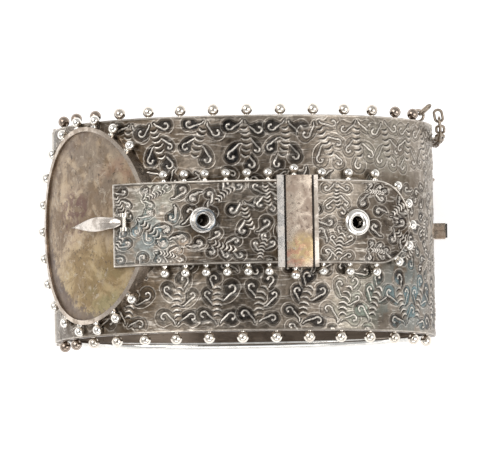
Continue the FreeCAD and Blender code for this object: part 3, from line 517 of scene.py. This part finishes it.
def keeper_material(name):
    """The keeper: bright borders, dark grooves and a worn rose middle, stained yellow at its lower right."""
    t = Tree(name)
    cloud = t.ramp(t.noise(420, 5, 0.65, twist=0.5), 0.4, 0.62)
    colour = t.mix(cloud, (0.50, 0.42, 0.34), (0.34, 0.26, 0.205))
    speck = t.ramp(t.noise(1500, 5, 0.75), 0.54, 0.64)
    colour = t.mix(t.math("MULTIPLY", speck, 0.8), colour, (0.13, 0.09, 0.07))
    warm = t.math("MULTIPLY", t.blob((9.7, -4.6, 55.8), 2.6, 0.9), t.ramp(t.noise(600, 3), 0.3, 0.46))
    colour = t.mix(t.math("MULTIPLY", warm, 0.75), colour, (0.47, 0.34, 0.16))
    rust = t.math("MULTIPLY", t.blob((8.2, -5.4, 55.8), 2.6, 1.4), t.ramp(t.noise(900, 3), 0.46, 0.58))
    colour = t.mix(t.math("MULTIPLY", rust, 0.6), colour, (0.42, 0.20, 0.15))
    left, right = KEEPER_GROOVES
    border = t.math("SUBTRACT", 1.0, t.near_x((left + right) / 2, (right - left) / 2))
    border_tint = t.mix(cloud, (0.50, 0.45, 0.40), (0.36, 0.31, 0.26))
    colour = t.mix(t.math("MULTIPLY", border, 0.92), colour, border_tint)
    # the left border turns away from the light; a painted highlight makes it near white
    outer = t.near_x(left - 1.0, 0.95)
    painted_highlight = t.mix(cloud, (0.95, 0.91, 0.86), (0.72, 0.66, 0.60))
    colour = t.mix(t.math("MULTIPLY", outer, 0.85), colour, painted_highlight)
    for x in KEEPER_GROOVES:
        colour = t.mix(t.math("MULTIPLY", t.near_x(x, 0.15), 0.95), colour, (0.02, 0.016, 0.014))
    t.bump(t.noise(900, 5, 0.6), 0.2, 0.00006)
    return t.finish(colour, t.ramp(cloud, 0.0, 1.0, 0.22, 0.42), 0.88)


def bead_material(name):
    """Bright beads, browner near three of the band's corners."""
    t = Tree(name)
    cloud = t.ramp(t.noise(500, 4, 0.6), 0.4, 0.66)
    colour = t.mix(t.math("MULTIPLY", cloud, 0.4), (0.80, 0.74, 0.66), (0.42, 0.35, 0.28))
    corners = t.math("ADD", t.blob((-31.0, 19.0, 37.0), 15.0, 5.0), t.blob((33.0, 19.0, 38.0), 13.0, 5.0))
    corners = t.math("ADD", corners, t.blob((-34.0, -19.0, 33.0), 12.0, 5.0))
    colour = t.mix(t.math("MULTIPLY", corners, 0.8), colour, (0.22, 0.155, 0.115))
    speck = t.ramp(t.noise(2300, 3, 0.6), 0.6, 0.7)
    colour = t.mix(t.math("MULTIPLY", speck, 0.5), colour, (0.10, 0.08, 0.06))
    t.bump(t.noise(1800, 3, 0.6), 0.08, 0.00004)
    return t.finish(colour, t.ramp(cloud, 0.0, 1.0, 0.08, 0.24), 1.0)


def lining_material(name, light_gain=1.0):
    """Unpolished silver outside the engraving: brushed along the band, softly clouded with brown; a gain over
    1 makes a brighter copy, painted light.
    """
    t = Tree(name)
    soft = t.ramp(t.noise(70, 3, 0.5, twist=0.6), 0.3, 0.75)
    fine = t.ramp(t.noise(420, 6, 0.7), 0.3, 0.75)
    brushed = t.ramp(t.noise(260, 4, 0.7, stretch=(0.35, 5.0, 0.35)), 0.35, 0.7)
    light = tuple(c * light_gain for c in (0.235, 0.192, 0.155))
    dark = tuple(c * light_gain for c in (0.125, 0.098, 0.076))
    colour = t.mix(soft, dark, light)
    colour = t.mix(t.math("MULTIPLY", fine, 0.45), colour, dark)
    colour = t.mix(t.math("MULTIPLY", brushed, 0.35), colour, tuple(c * 1.35 for c in light))
    pits = t.ramp(t.noise(1900, 3, 0.6), 0.62, 0.72)
    colour = t.mix(t.math("MULTIPLY", pits, 0.6), colour, tuple(c * 0.4 for c in dark))
    t.bump(t.noise(700, 5, 0.65, stretch=(0.6, 2.5, 0.6)), 0.25, 0.00008)
    return t.finish(colour, t.ramp(fine, 0.0, 1.0, 0.3, 0.46), 1.0)


def eyelet_material(name):
    """Bright rings about a dull blue-grey flat."""
    t = Tree(name)
    cloud = t.ramp(t.noise(900, 4, 0.6), 0.4, 0.66)
    colour = t.mix(t.math("MULTIPLY", cloud, 0.5), (0.74, 0.71, 0.67), (0.34, 0.30, 0.27))
    (x, y) = EYELETS[0]
    outside = t.ramp(t.plan_ring((x + 0.45, y), (1.0, 1.0)), 1.38, 1.46)
    inside = t.ramp(t.plan_ring((x + 0.45, y), (1.0, 1.0)), 1.74, 1.82, 1.0, 0.0)
    flat = t.math("MULTIPLY", outside, inside)
    colour = t.mix(t.math("MULTIPLY", flat, 0.9), colour, (0.20, 0.225, 0.25))
    t.bump(t.noise(1900, 4, 0.6), 0.12, 0.00004)
    return t.finish(colour, t.ramp(cloud, 0.0, 1.0, 0.14, 0.3), 1.0)


def chrome(name, tint):
    """Bright worn silver for beads, wire and small fittings."""
    dark = tuple(c * 0.62 for c in tint)
    return plain_material(name, tint, dark, rough=(0.07, 0.2), scale=700, stain=0.45, bump=0.08)


# ---- finishes of the carried-over CAD pieces ----
BEAD = chrome("bead_silver", (0.86, 0.82, 0.76))
DARK_BEAD = bead_material("edge_bead_silver")
PRONG = plain_material(
    "prong_silver", (0.68, 0.62, 0.56), (0.28, 0.23, 0.19), rough=(0.2, 0.34), scale=520, stain=0.75
)
BEZEL = plain_material(
    "bezel_silver", (0.62, 0.54, 0.46), (0.27, 0.21, 0.16), rough=(0.16, 0.34), scale=620, stain=0.8
)
WIRE = chrome("wire_silver", (0.84, 0.82, 0.78))
CHAIN = plain_material("chain_silver", (0.36, 0.30, 0.24), (0.14, 0.105, 0.08), rough=(0.22, 0.4), scale=1100)
PLAIN = plain_material(
    "band_silver", (0.58, 0.54, 0.49), (0.36, 0.31, 0.265), rough=(0.24, 0.38), scale=330, stain=0.7
)
# painted shade: the strap's walls under its engraved skin get a darker silver than the band's plain parts
SHADED_SIDE = plain_material(
    "strap_side_shaded_silver", (0.46, 0.42, 0.37), (0.20, 0.16, 0.13), rough=(0.28, 0.45), scale=420, stain=0.9
)
INNER = lining_material("lining_silver")
THUMB = plain_material(
    "thumb_silver", (0.85, 0.70, 0.56), (0.36, 0.26, 0.19), rough=(0.25, 0.45), scale=900, stain=0.9
)
FINISH = {
    BEAD: ["buckle_beads", "strap_beads", "keeper_beads", "eyelet_left", "eyelet_right"],
    BEZEL: ["buckle_bezel"],
    DARK_BEAD: ["far_edge_beads", "near_edge_beads", "prong_bar"],
    WIRE: ["back_rim_near", "back_rim_far"],
    CHAIN: ["chain_links", "front_jump_ring", "front_chain_loop", "back_chain_loop"],
    PLAIN: ["front_knuckles", "back_knuckles", "hinge_pin"],
    SHADED_SIDE: ["strap"],
    INNER: ["front_band", "clasp_box", "clasp_tongue", "spring_leaf"],
    # painted light: the back band takes the lining finish 1.3 times brighter
    lining_material("back_silver_brightened", 1.3): ["back_band"],
    THUMB: ["thumb_piece"],
    chrome("end_plate_silver", (0.66, 0.61, 0.56)): ["thumb_end_plate"],
    plate_material("plate_gilt"): ["buckle_plate"],
    keeper_material("keeper_silver"): ["strap_keeper"],
}
for material, names in FINISH.items():
    for name in names:
        data = NODES[name].data
        data.materials.clear()
        data.materials.append(material)

# ---- the engraved face of the band ----
# arc lengths from the crown to the band's ends, and how far the engraved skin stands over the band
BAND_ENDS = (-45.0, 45.2)
BAND_SKIN = 0.15
BAND_STEP = 0.14
BAND_ROWS = 258
EDGE_GAP = 0.06
# the two rows of large sprigs, by arc length from the crown
SPRIG_SIZE = 1.26
UPPER_Y, LOWER_Y = 13.4, -13.0
UPPER_ROW = [-33.0, -25.5, -20.6, -14.4, -7.4, 0.2, 6.7, 13.8, 20.0, 25.8, 31.4, 37.0, 42.6]
LOWER_ROW = [-33.0, -26.0, -19.5, -11.2, -4.6, 2.6, 10.2, 17.0, 23.0, 28.8, 34.4, 40.0, 45.0]
# the upper row is cut shallow to the right of the keeper, the lower one at its left end and mid right
SHALLOW_FROM = 11.0
DEEP_CUT = 0.95
# small sprigs right of the strap's tip: arc length and Y
END_SPRIGS = ((31.5, 3.6), (31.8, -4.4), (36.8, 5.4), (37.0, -0.2), (37.4, -6.2), (42.0, 4.4), (42.2, -4.2))


def band_sprigs(cut, rng):
    # the first sprig lies under the strap's left end
    cut.motif(rng, (-16.0, 3.0), 0.4, 1.0, 1, 0.4)
    for k, along in enumerate(UPPER_ROW):
        depth = 0.22 if along > SHALLOW_FROM else DEEP_CUT
        cut.motif(rng, (along, UPPER_Y), rng.uniform(-0.45, 0.45), SPRIG_SIZE, 1 if k % 2 else -1, depth)
    for k, along in enumerate(LOWER_ROW):
        depth = 0.35 if along < -17 or 15 < along < 21 else DEEP_CUT
        turned = math.pi + rng.uniform(-0.5, 0.5)
        cut.motif(rng, (along, LOWER_Y), turned, SPRIG_SIZE, -1 if k % 2 else 1, depth)
    for along, y in END_SPRIGS:
        cut.motif(rng, (along, y), rng.uniform(-1.6, 1.6), 0.85, rng.choice([-1, 1]), 0.4 if y > 0 else 0.9)
    cut.scatter(rng, 1500, 0.1, 1.15, 0.8)


def band_border(cut, to_edge):
    """A bright line along both long edges, partly worn bright metal and partly a painted highlight on the
    rounded edge; cuts fade out by the hinge and under the bead rows.
    """
    # painted highlight and worn edge: a bright line just inside each long edge
    cut.line = np.maximum(cut.line, 0.85 * smooth(-to_edge, -0.3, -0.12))
    keep = smooth(cut.s, -31.0, -27.0) * smooth(to_edge, 0.4, 0.8)
    cut.fill *= keep
    cut.groove *= keep


def band_grime_and_shade(cut):
    """Grime and painted shade lie against the strap, the keeper and the buckle: grime where cloths don't
    reach, painted shade where the raised parts meet the band.
    """
    plan_x = on_band(cut.s, 0.0, 0.0)[..., 0]
    past_side = np.maximum(np.abs(cut.y) - STRAP_HALF, 0)
    past_tip = np.maximum(plan_x - STRAP_TIP, 0)
    to_strap = np.hypot(past_side, past_tip * 0.6)
    shares = (plan_x - PLATE_MID[0]) / PLATE_HALF[0], cut.y / PLATE_HALF[1]
    to_plate = (np.hypot(*shares) - 1) * PLATE_HALF[0]
    # painted shade and grime: darker next to the strap and the buckle
    grime_and_shade = np.maximum(smooth(-to_strap, -3.4, -0.6), 1.2 * smooth(-to_plate, -7.5, -1.5))
    cut.stain = np.clip(grime_and_shade * cut.clouds(2.6, 0.8, 8), 0, 1)


def band_wear(cut, to_edge):
    """The right end is worn pale, most of all in the upper strip, and the edges a little."""
    worn = np.where(cut.y > 0, 0.85, 0.55) * smooth(cut.s, 9.0, 17.0) + 0.12 + cut.patches(3.0, 1.1, 11)
    worn += 0.3 * smooth(-to_edge, -2.2, -0.4)
    cut.worn = np.clip(worn, 0, 1)


def engrave_band(rng):
    s_line = np.arange(BAND_ENDS[0], BAND_ENDS[1], BAND_STEP)
    y_line = np.linspace(-HALF_WIDTH + EDGE_GAP, HALF_WIDTH - EDGE_GAP, BAND_ROWS)
    cut = Engraving(*np.meshgrid(s_line, y_line, indexing="ij"))
    to_edge = HALF_WIDTH - np.abs(cut.y)
    band_sprigs(cut, rng)
    band_border(cut, to_edge)
    band_grime_and_shade(cut)
    band_wear(cut, to_edge)
    offset = BAND_SKIN + cut.height() - 0.1 * smooth(-to_edge, -0.12, 0.0)
    return grid_mesh("front_band_engraving", on_band(cut.s, cut.y, offset), cut.masks())


# ---- the strap's engraved top ----
STRAP_SKIN = 0.12
STRAP_STEP = 0.12
STRAP_ROWS = 122
# the skin ends this far inside the strap's left end, tip and sides
STRAP_INSET = (0.06, 0.12, 0.05)
EYELET_GAP = 1.9
# arc length, Y, turn in radians and size
STRAP_SPRIGS = (
    (-20.0, 3.4, 0.5, 0.78), (-20.6, -3.6, 2.6, 0.8), (-14.8, -1.0, 0.8, 0.95), (-14.0, 4.8, 2.0, 0.72),
    (-12.2, -5.2, 1.3, 0.7), (-3.0, 4.6, 2.2, 0.85), (-3.2, -4.0, 1.2, 0.9), (0.6, 0.6, 0.35, 0.95),
    (2.8, -4.6, 2.9, 0.8), (3.6, 4.4, 0.2, 0.85), (14.8, 3.8, 0.1, 0.85), (15.2, -3.8, 3.0, 0.88),
    (26.0, 2.4, 2.1, 0.85), (26.8, -2.4, 0.9, 0.88), (21.5, -4.9, 1.5, 0.6), (21.4, 4.9, 1.5, 0.6),
)


def strap_sprigs(cut, rng):
    for along, y, turned, size in STRAP_SPRIGS:
        depth = 0.3 if 12 < along < 18 else DEEP_CUT
        cut.motif(rng, (along, y), turned, size, rng.choice([-1, 1]), depth)
    cut.scatter(rng, 900, 0.08, 1.05, 0.95)


def strap_border(cut, to_rim):
    """A raised bright rim with a thin cut inside it."""
    rim_line = smooth(-to_rim, -0.24, -0.14)
    inset = smooth(to_rim, 0.3, 0.5)
    cut.fill *= smooth(to_rim, 0.35, 0.6)
    cut.groove = np.maximum(cut.groove * inset, 0.7 * smooth(-np.abs(to_rim - 0.42), -0.1, -0.02))
    cut.line = np.maximum(cut.line * inset, rim_line)
    return rim_line


def strap_eyelets(cut):
    """A dark halo of painted shade round each eyelet, also cut a little into the ground; returns the grid
    points that the eyelets cover.
    """
    covered = np.zeros(cut.s.shape, bool)
    for x, y in EYELETS:
        around = np.hypot(cut.s - along_at_x(x, STRAP_HEIGHT), cut.y - y)
        covered |= around < EYELET_GAP
        shade_halo = smooth(-np.abs(around - 2.5), -0.7, -0.1)
        # painted shade: a dark ring just outside each eyelet
        cut.fill = np.maximum(cut.fill * smooth(around, 2.3, 2.9), 0.45 * shade_halo)
    return covered


def strap_grime_and_shade(cut, plan_x):
    """Grime and painted shade lie against the keeper and the eyelets, and grime dulls the tip."""
    clouds = cut.clouds(2.4, 0.7, 18)
    to_keeper = np.maximum(KEEPER_X[0] - plan_x, plan_x - KEEPER_X[1])[:, None]
    to_eyelet = np.min([np.hypot(plan_x[:, None] - x, cut.y - y) - 2.2 for x, y in EYELETS], axis=0)
    # painted shade and grime: darker next to the keeper and the eyelets
    grime_and_shade = np.maximum(smooth(-to_keeper, -2.0, -0.2), smooth(-to_eyelet, -2.4, -0.2))
    tip = 0.9 * smooth(cut.s, 23.5, 26.5) * (clouds + 0.3)
    cut.stain = np.maximum(np.clip(grime_and_shade * clouds, 0, 1), np.clip(tip, 0, 1))


def strap_wear(cut):
    """The strap is worn pale right of the keeper and, less, at its left end."""
    right_part = smooth(cut.s, 11.0, 13.0) * smooth(-cut.s, -20.0, -17.0)
    worn = 0.4 * smooth(-cut.s, 9.5, 13.5) + 0.72 * right_part
    cut.worn = np.clip(worn + 0.08 + cut.patches(2.6, 1.0, 21), 0, 1)


def engrave_strap(rng):
    left_gap, tip_gap, side_gap = STRAP_INSET
    start = along_at_x(STRAP_LEFT + left_gap, STRAP_HEIGHT)
    end = along_at_x(STRAP_TIP - tip_gap, STRAP_HEIGHT)
    s_line = np.arange(start, end, STRAP_STEP)
    plan_x = on_band(s_line, 0.0, STRAP_HEIGHT)[:, 0]
    # the tip is a half oval
    past = np.clip((plan_x - STRAP_SHOULDER) / (STRAP_TIP - STRAP_SHOULDER), 0, 1)
    wide = (STRAP_HALF - side_gap) * np.sqrt(np.clip(1 - past * past, 0.004, 1))
    share = np.linspace(-1, 1, STRAP_ROWS)
    cut = Engraving(np.repeat(s_line[:, None], len(share), axis=1), wide[:, None] * share[None, :])
    to_side = (1 - np.abs(share))[None, :] * wide[:, None]
    to_rim = np.minimum(to_side, (plan_x - STRAP_LEFT)[:, None])
    to_rim = np.minimum(to_rim, (STRAP_TIP - plan_x)[:, None] * 1.9)
    strap_sprigs(cut, rng)
    rim_line = strap_border(cut, to_rim)
    covered = strap_eyelets(cut)
    strap_grime_and_shade(cut, plan_x)
    strap_wear(cut)
    offset = STRAP_HEIGHT + STRAP_SKIN + cut.height() + 0.03 * rim_line
    return grid_mesh("strap_engraving", on_band(cut.s, cut.y, offset), cut.masks(), drop=covered)


# tarnished places on both skins: centre, radius and tint
BAND_TINTS = [
    ((27.0, -12.0, 43.0), 7.0, TEAL), ((19.0, -13.5, 49.0), 5.0, (0.24, 0.27, 0.22)),
    ((-11.0, -13.0, 52.5), 4.0, (0.24, 0.21, 0.17)), ((24.0, 12.0, 46.0), 6.0, (0.30, 0.29, 0.24)),
]
STRAP_TINTS = [
    ((-14.5, -1.5, 54.5), 4.2, TEAL), ((-18.5, -3.0, 53.5), 4.4, (0.17, 0.22, 0.235)),
    ((-15.0, 4.5, 54.5), 3.4, (0.20, 0.235, 0.20)), ((-11.0, -4.6, 55.5), 2.2, (0.34, 0.25, 0.18)),
]
rng = np.random.default_rng(1871)
for skin, finish in (
    (engrave_band(rng), engraved_material("engraved_band", BAND_TINTS, BAND_GROUND)),
    (engrave_strap(rng), engraved_material("engraved_strap", STRAP_TINTS, STRAP_GROUND)),
):
    skin.data.materials.append(finish)
    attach(skin, "front_half")


# ---- the prong: a domed leaf on a wrapped eye, in place of the plain CAD leaf ----
PRONG_HALF = 1.35
PRONG_Y = 0.45
# share of the prong's length at which its eye begins
EYE_FROM = 0.8
PRONG_ROWS, PRONG_SIDES = 72, 40


def prong_leaf():
    """The leaf from its tip over the buckle's plate to its eye on the bar, with a ridge along its top."""
    points = frame_points("prong")
    tip, eye = points[:, 0].min() - 0.45, points[:, 0].max() - 0.8
    rows, around = PRONG_ROWS, PRONG_SIDES
    verts = []
    for i in range(rows):
        t = i / (rows - 1)
        x = tip + (eye - tip) * t
        wide = PRONG_HALF * (math.sin(math.pi * min(1, t**1.15)) * 0.7 + 0.27 * t**0.4)
        # the leaf swells again into the eye
        if t > EYE_FROM:
            wide += 0.16 * math.sin((t - EYE_FROM) / (1 - EYE_FROM) * math.pi)
        wide = max(0.1, min(PRONG_HALF, wide))
        along = along_at_x(x, STRAP_HEIGHT)
        middle = 1.55 + (STRAP_HEIGHT + 0.95 - 1.55) * smooth(t, 0.0, 0.95) + 0.35 * math.sin(math.pi * t)
        thick = 0.16 + 0.34 * math.sin(math.pi * min(1, 0.12 + 0.88 * t)) ** 0.7
        for k in range(around):
            a = 2 * math.pi * k / around
            ridge = 1.0 + 0.35 * math.exp(-((math.cos(a) / 0.22) ** 2)) * (math.sin(a) > 0) * (t < 0.85)
            y, up = wide * math.cos(a), thick * math.sin(a) * ridge
            verts.append(on_band(np.array([along]), np.array([PRONG_Y + y]), middle + up)[0] * MM)
    faces = []
    for i in range(rows - 1):
        for k in range(around):
            a, b = i * around + k, i * around + (k + 1) % around
            faces.append((a, a + around, b + around, b))
    faces.append(list(range(around)))
    faces.append([(rows - 1) * around + k for k in range(around)][::-1])
    mesh = bpy.data.meshes.new("prong_domed")
    mesh.from_pydata([tuple(v) for v in verts], [], faces)
    mesh.polygons.foreach_set("use_smooth", [len(p.vertices) == 4 for p in mesh.polygons])
    mesh.materials.append(PRONG)
    return add_object("prong_domed", mesh)


LATHE_SIDES = 96
SHARP_OVER = 50


def lathe(name, profile, seat, material):
    """A round piece turned about a seat's normal: profile is radius and height in millimetres."""
    turns = LATHE_SIDES
    (x, y), base = seat
    angle = angle_at(along_at_x(x, STRAP_HEIGHT))
    out = np.array([math.sin(angle), 0, math.cos(angle)])
    flat = np.array([math.cos(angle), 0, -math.sin(angle)])
    side = np.array([0, 1, 0])
    centre = on_band(np.array([along_at_x(x, STRAP_HEIGHT)]), np.array([y]), base)[0]
    verts = []
    for radius, height in profile:
        for k in range(turns):
            a = 2 * math.pi * k / turns
            verts.append((centre + radius * (math.cos(a) * flat + math.sin(a) * side) + height * out) * MM)
    faces = []
    rings = len(profile)
    for i in range(rings):
        for k in range(turns):
            a, b = i * turns + k, i * turns + (k + 1) % turns
            c, d = (i + 1) % rings * turns + (k + 1) % turns, (i + 1) % rings * turns + k
            faces.append((a, b, c, d))
    mesh = bpy.data.meshes.new(name)
    mesh.from_pydata([tuple(v) for v in verts], [], faces)
    mesh.polygons.foreach_set("use_smooth", [True] * len(mesh.polygons))
    mesh.set_sharp_from_angle(angle=math.radians(SHARP_OVER))
    mesh.materials.append(material)
    obj = add_object(name, mesh)
    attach(obj, "front_half")
    return obj


def half_round(middle, half, low, rise, steps=7):
    """Profile points over a raised ring, from its outer foot to its inner foot."""
    turns = [math.pi * k / (steps - 1) for k in range(steps)]
    return [(middle + half * math.cos(a), low + rise * math.sin(a)) for a in turns]


def frame_points(node):
    """A node's mesh points in millimetres."""
    mesh = NODES[node].data
    flat = np.empty(len(mesh.vertices) * 3)
    mesh.vertices.foreach_get("co", flat)
    return flat.reshape(-1, 3) / MM


prong = prong_leaf()
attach(prong, "prong_leaf")
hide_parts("prong")


# ---- the left eyelet: an outer ring, a blued flat and a bright inner ring ----
UNDER = -0.9
eyelet_profile = [(2.2, 0.02)] + half_round(1.98, 0.24, 0.72, 0.36) + half_round(1.2, 0.2, 0.55, 0.28)
eyelet_profile += [(0.94, 0.5), (0.92, UNDER), (1.3, UNDER), (1.3, 0.02)]
eyelet_finish = eyelet_material("eyelet_silver")
ring = lathe("eyelet_left_turned", eyelet_profile, (EYELETS[0], STRAP_HEIGHT), eyelet_finish)
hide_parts("eyelet_left")


# ---- floor, light and camera ----
# in metres
FLOOR_HALF = 6.0


def floor():
    """A plain white floor."""
    mesh = bpy.data.meshes.new("floor")
    r = FLOOR_HALF
    mesh.from_pydata([(-r, -r, 0), (r, -r, 0), (r, r, 0), (-r, r, 0)], [], [(0, 1, 2, 3)])
    obj = add_object("floor", mesh)
    t = Tree("floor_white")
    t.finish(t.mix(t.noise(3, 2), (0.93, 0.93, 0.93), (0.95, 0.95, 0.95)), 0.9, 0.0)
    t.shader.inputs["Emission Color"].default_value = (1, 1, 1, 1)
    t.shader.inputs["Emission Strength"].default_value = 0.32
    t.shader.inputs["Specular IOR Level"].default_value = 0.0
    mesh.materials.append(t.material)


floor()


def lamp(name, place, target, size, power, colour=(1.0, 1.0, 1.0)):
    """A soft rectangular lamp that faces a point."""
    data = bpy.data.lights.new(name, "AREA")
    data.shape = "RECTANGLE"
    data.size, data.size_y = size
    data.energy = power
    data.color = colour
    obj = add_object(name, data)
    obj.location = place
    obj.rotation_mode = "QUATERNION"
    obj.rotation_quaternion = (Vector(target) - Vector(place)).to_track_quat("-Z", "Y")


AIM = (0.0, 0.0, 0.03)
lamp("key", (-0.55, 0.35, 0.75), AIM, (0.6, 0.8), 4.5)
lamp("fill", (0.6, -0.15, 0.7), AIM, (0.5, 0.8), 3.2)
lamp("front", (0.0, -0.75, 0.5), AIM, (1.0, 0.4), 2.0)

# a pale room with a darker ceiling patch, which the silver mirrors
world = bpy.data.worlds.new("studio")
bpy.context.scene.world = world
world.use_nodes = True
wn, wl = world.node_tree.nodes, world.node_tree.links
direction = wn.new("ShaderNodeTexCoord").outputs["Generated"]
split = wn.new("ShaderNodeSeparateXYZ")
wl.new(direction, split.inputs[0])
sky = wn.new("ShaderNodeValToRGB")
wl.new(split.outputs["Z"], sky.inputs["Fac"])
stops = sky.color_ramp.elements
stops[0].position, stops[0].color = 0.0, (0.80, 0.80, 0.80, 1)
stops[1].position, stops[1].color = 1.0, (0.10, 0.10, 0.10, 1)
for position, grey in ((0.25, 0.62), (0.6, 0.75), (0.93, 0.6), (0.975, 0.12)):
    made = stops.new(position)
    made.color = (grey, grey, grey, 1)
wl.new(sky.outputs["Color"], wn["Background"].inputs["Color"])
wn["Background"].inputs["Strength"].default_value = 0.9

scene = bpy.context.scene
scene.view_settings.view_transform = "Standard"
scene.view_settings.look = "None"

# the camera looks down on the face from a little toward -Y, at a point close to the bangle's middle:
# sensor, lens and the aim's shifts in millimetres, distance in metres, tilt and roll in degrees
SENSOR = 36.0
LENS = 486.864
DISTANCE = 1.15
TILT, ROLL = 4.15, 0.95
AIM_RIGHT, AIM_UP = 0.88435, -0.08503
data = bpy.data.cameras.new("camera")
data.sensor_width = SENSOR
data.lens = LENS
data.clip_start, data.clip_end = 0.05, 20.0
camera = add_object("camera", data)
scene.camera = camera
tilt, roll = math.radians(TILT), math.radians(ROLL)
back = Vector((0, -math.sin(tilt), math.cos(tilt)))
up = Vector((0, math.cos(tilt), math.sin(tilt)))
right = up.cross(back)
# the bangle lies turned anticlockwise by roll in the picture, so the camera turns clockwise
cam_right = right * math.cos(roll) - up * math.sin(roll)
cam_up = up * math.cos(roll) + right * math.sin(roll)
aim = Vector((0, 0, MID_Z * MM)) + cam_right * (AIM_RIGHT * MM) + cam_up * (AIM_UP * MM)
place = aim + back * DISTANCE
camera.matrix_world = Matrix.Translation(place) @ Matrix((cam_right, cam_up, back)).transposed().to_4x4()

bpy.context.view_layer.update()
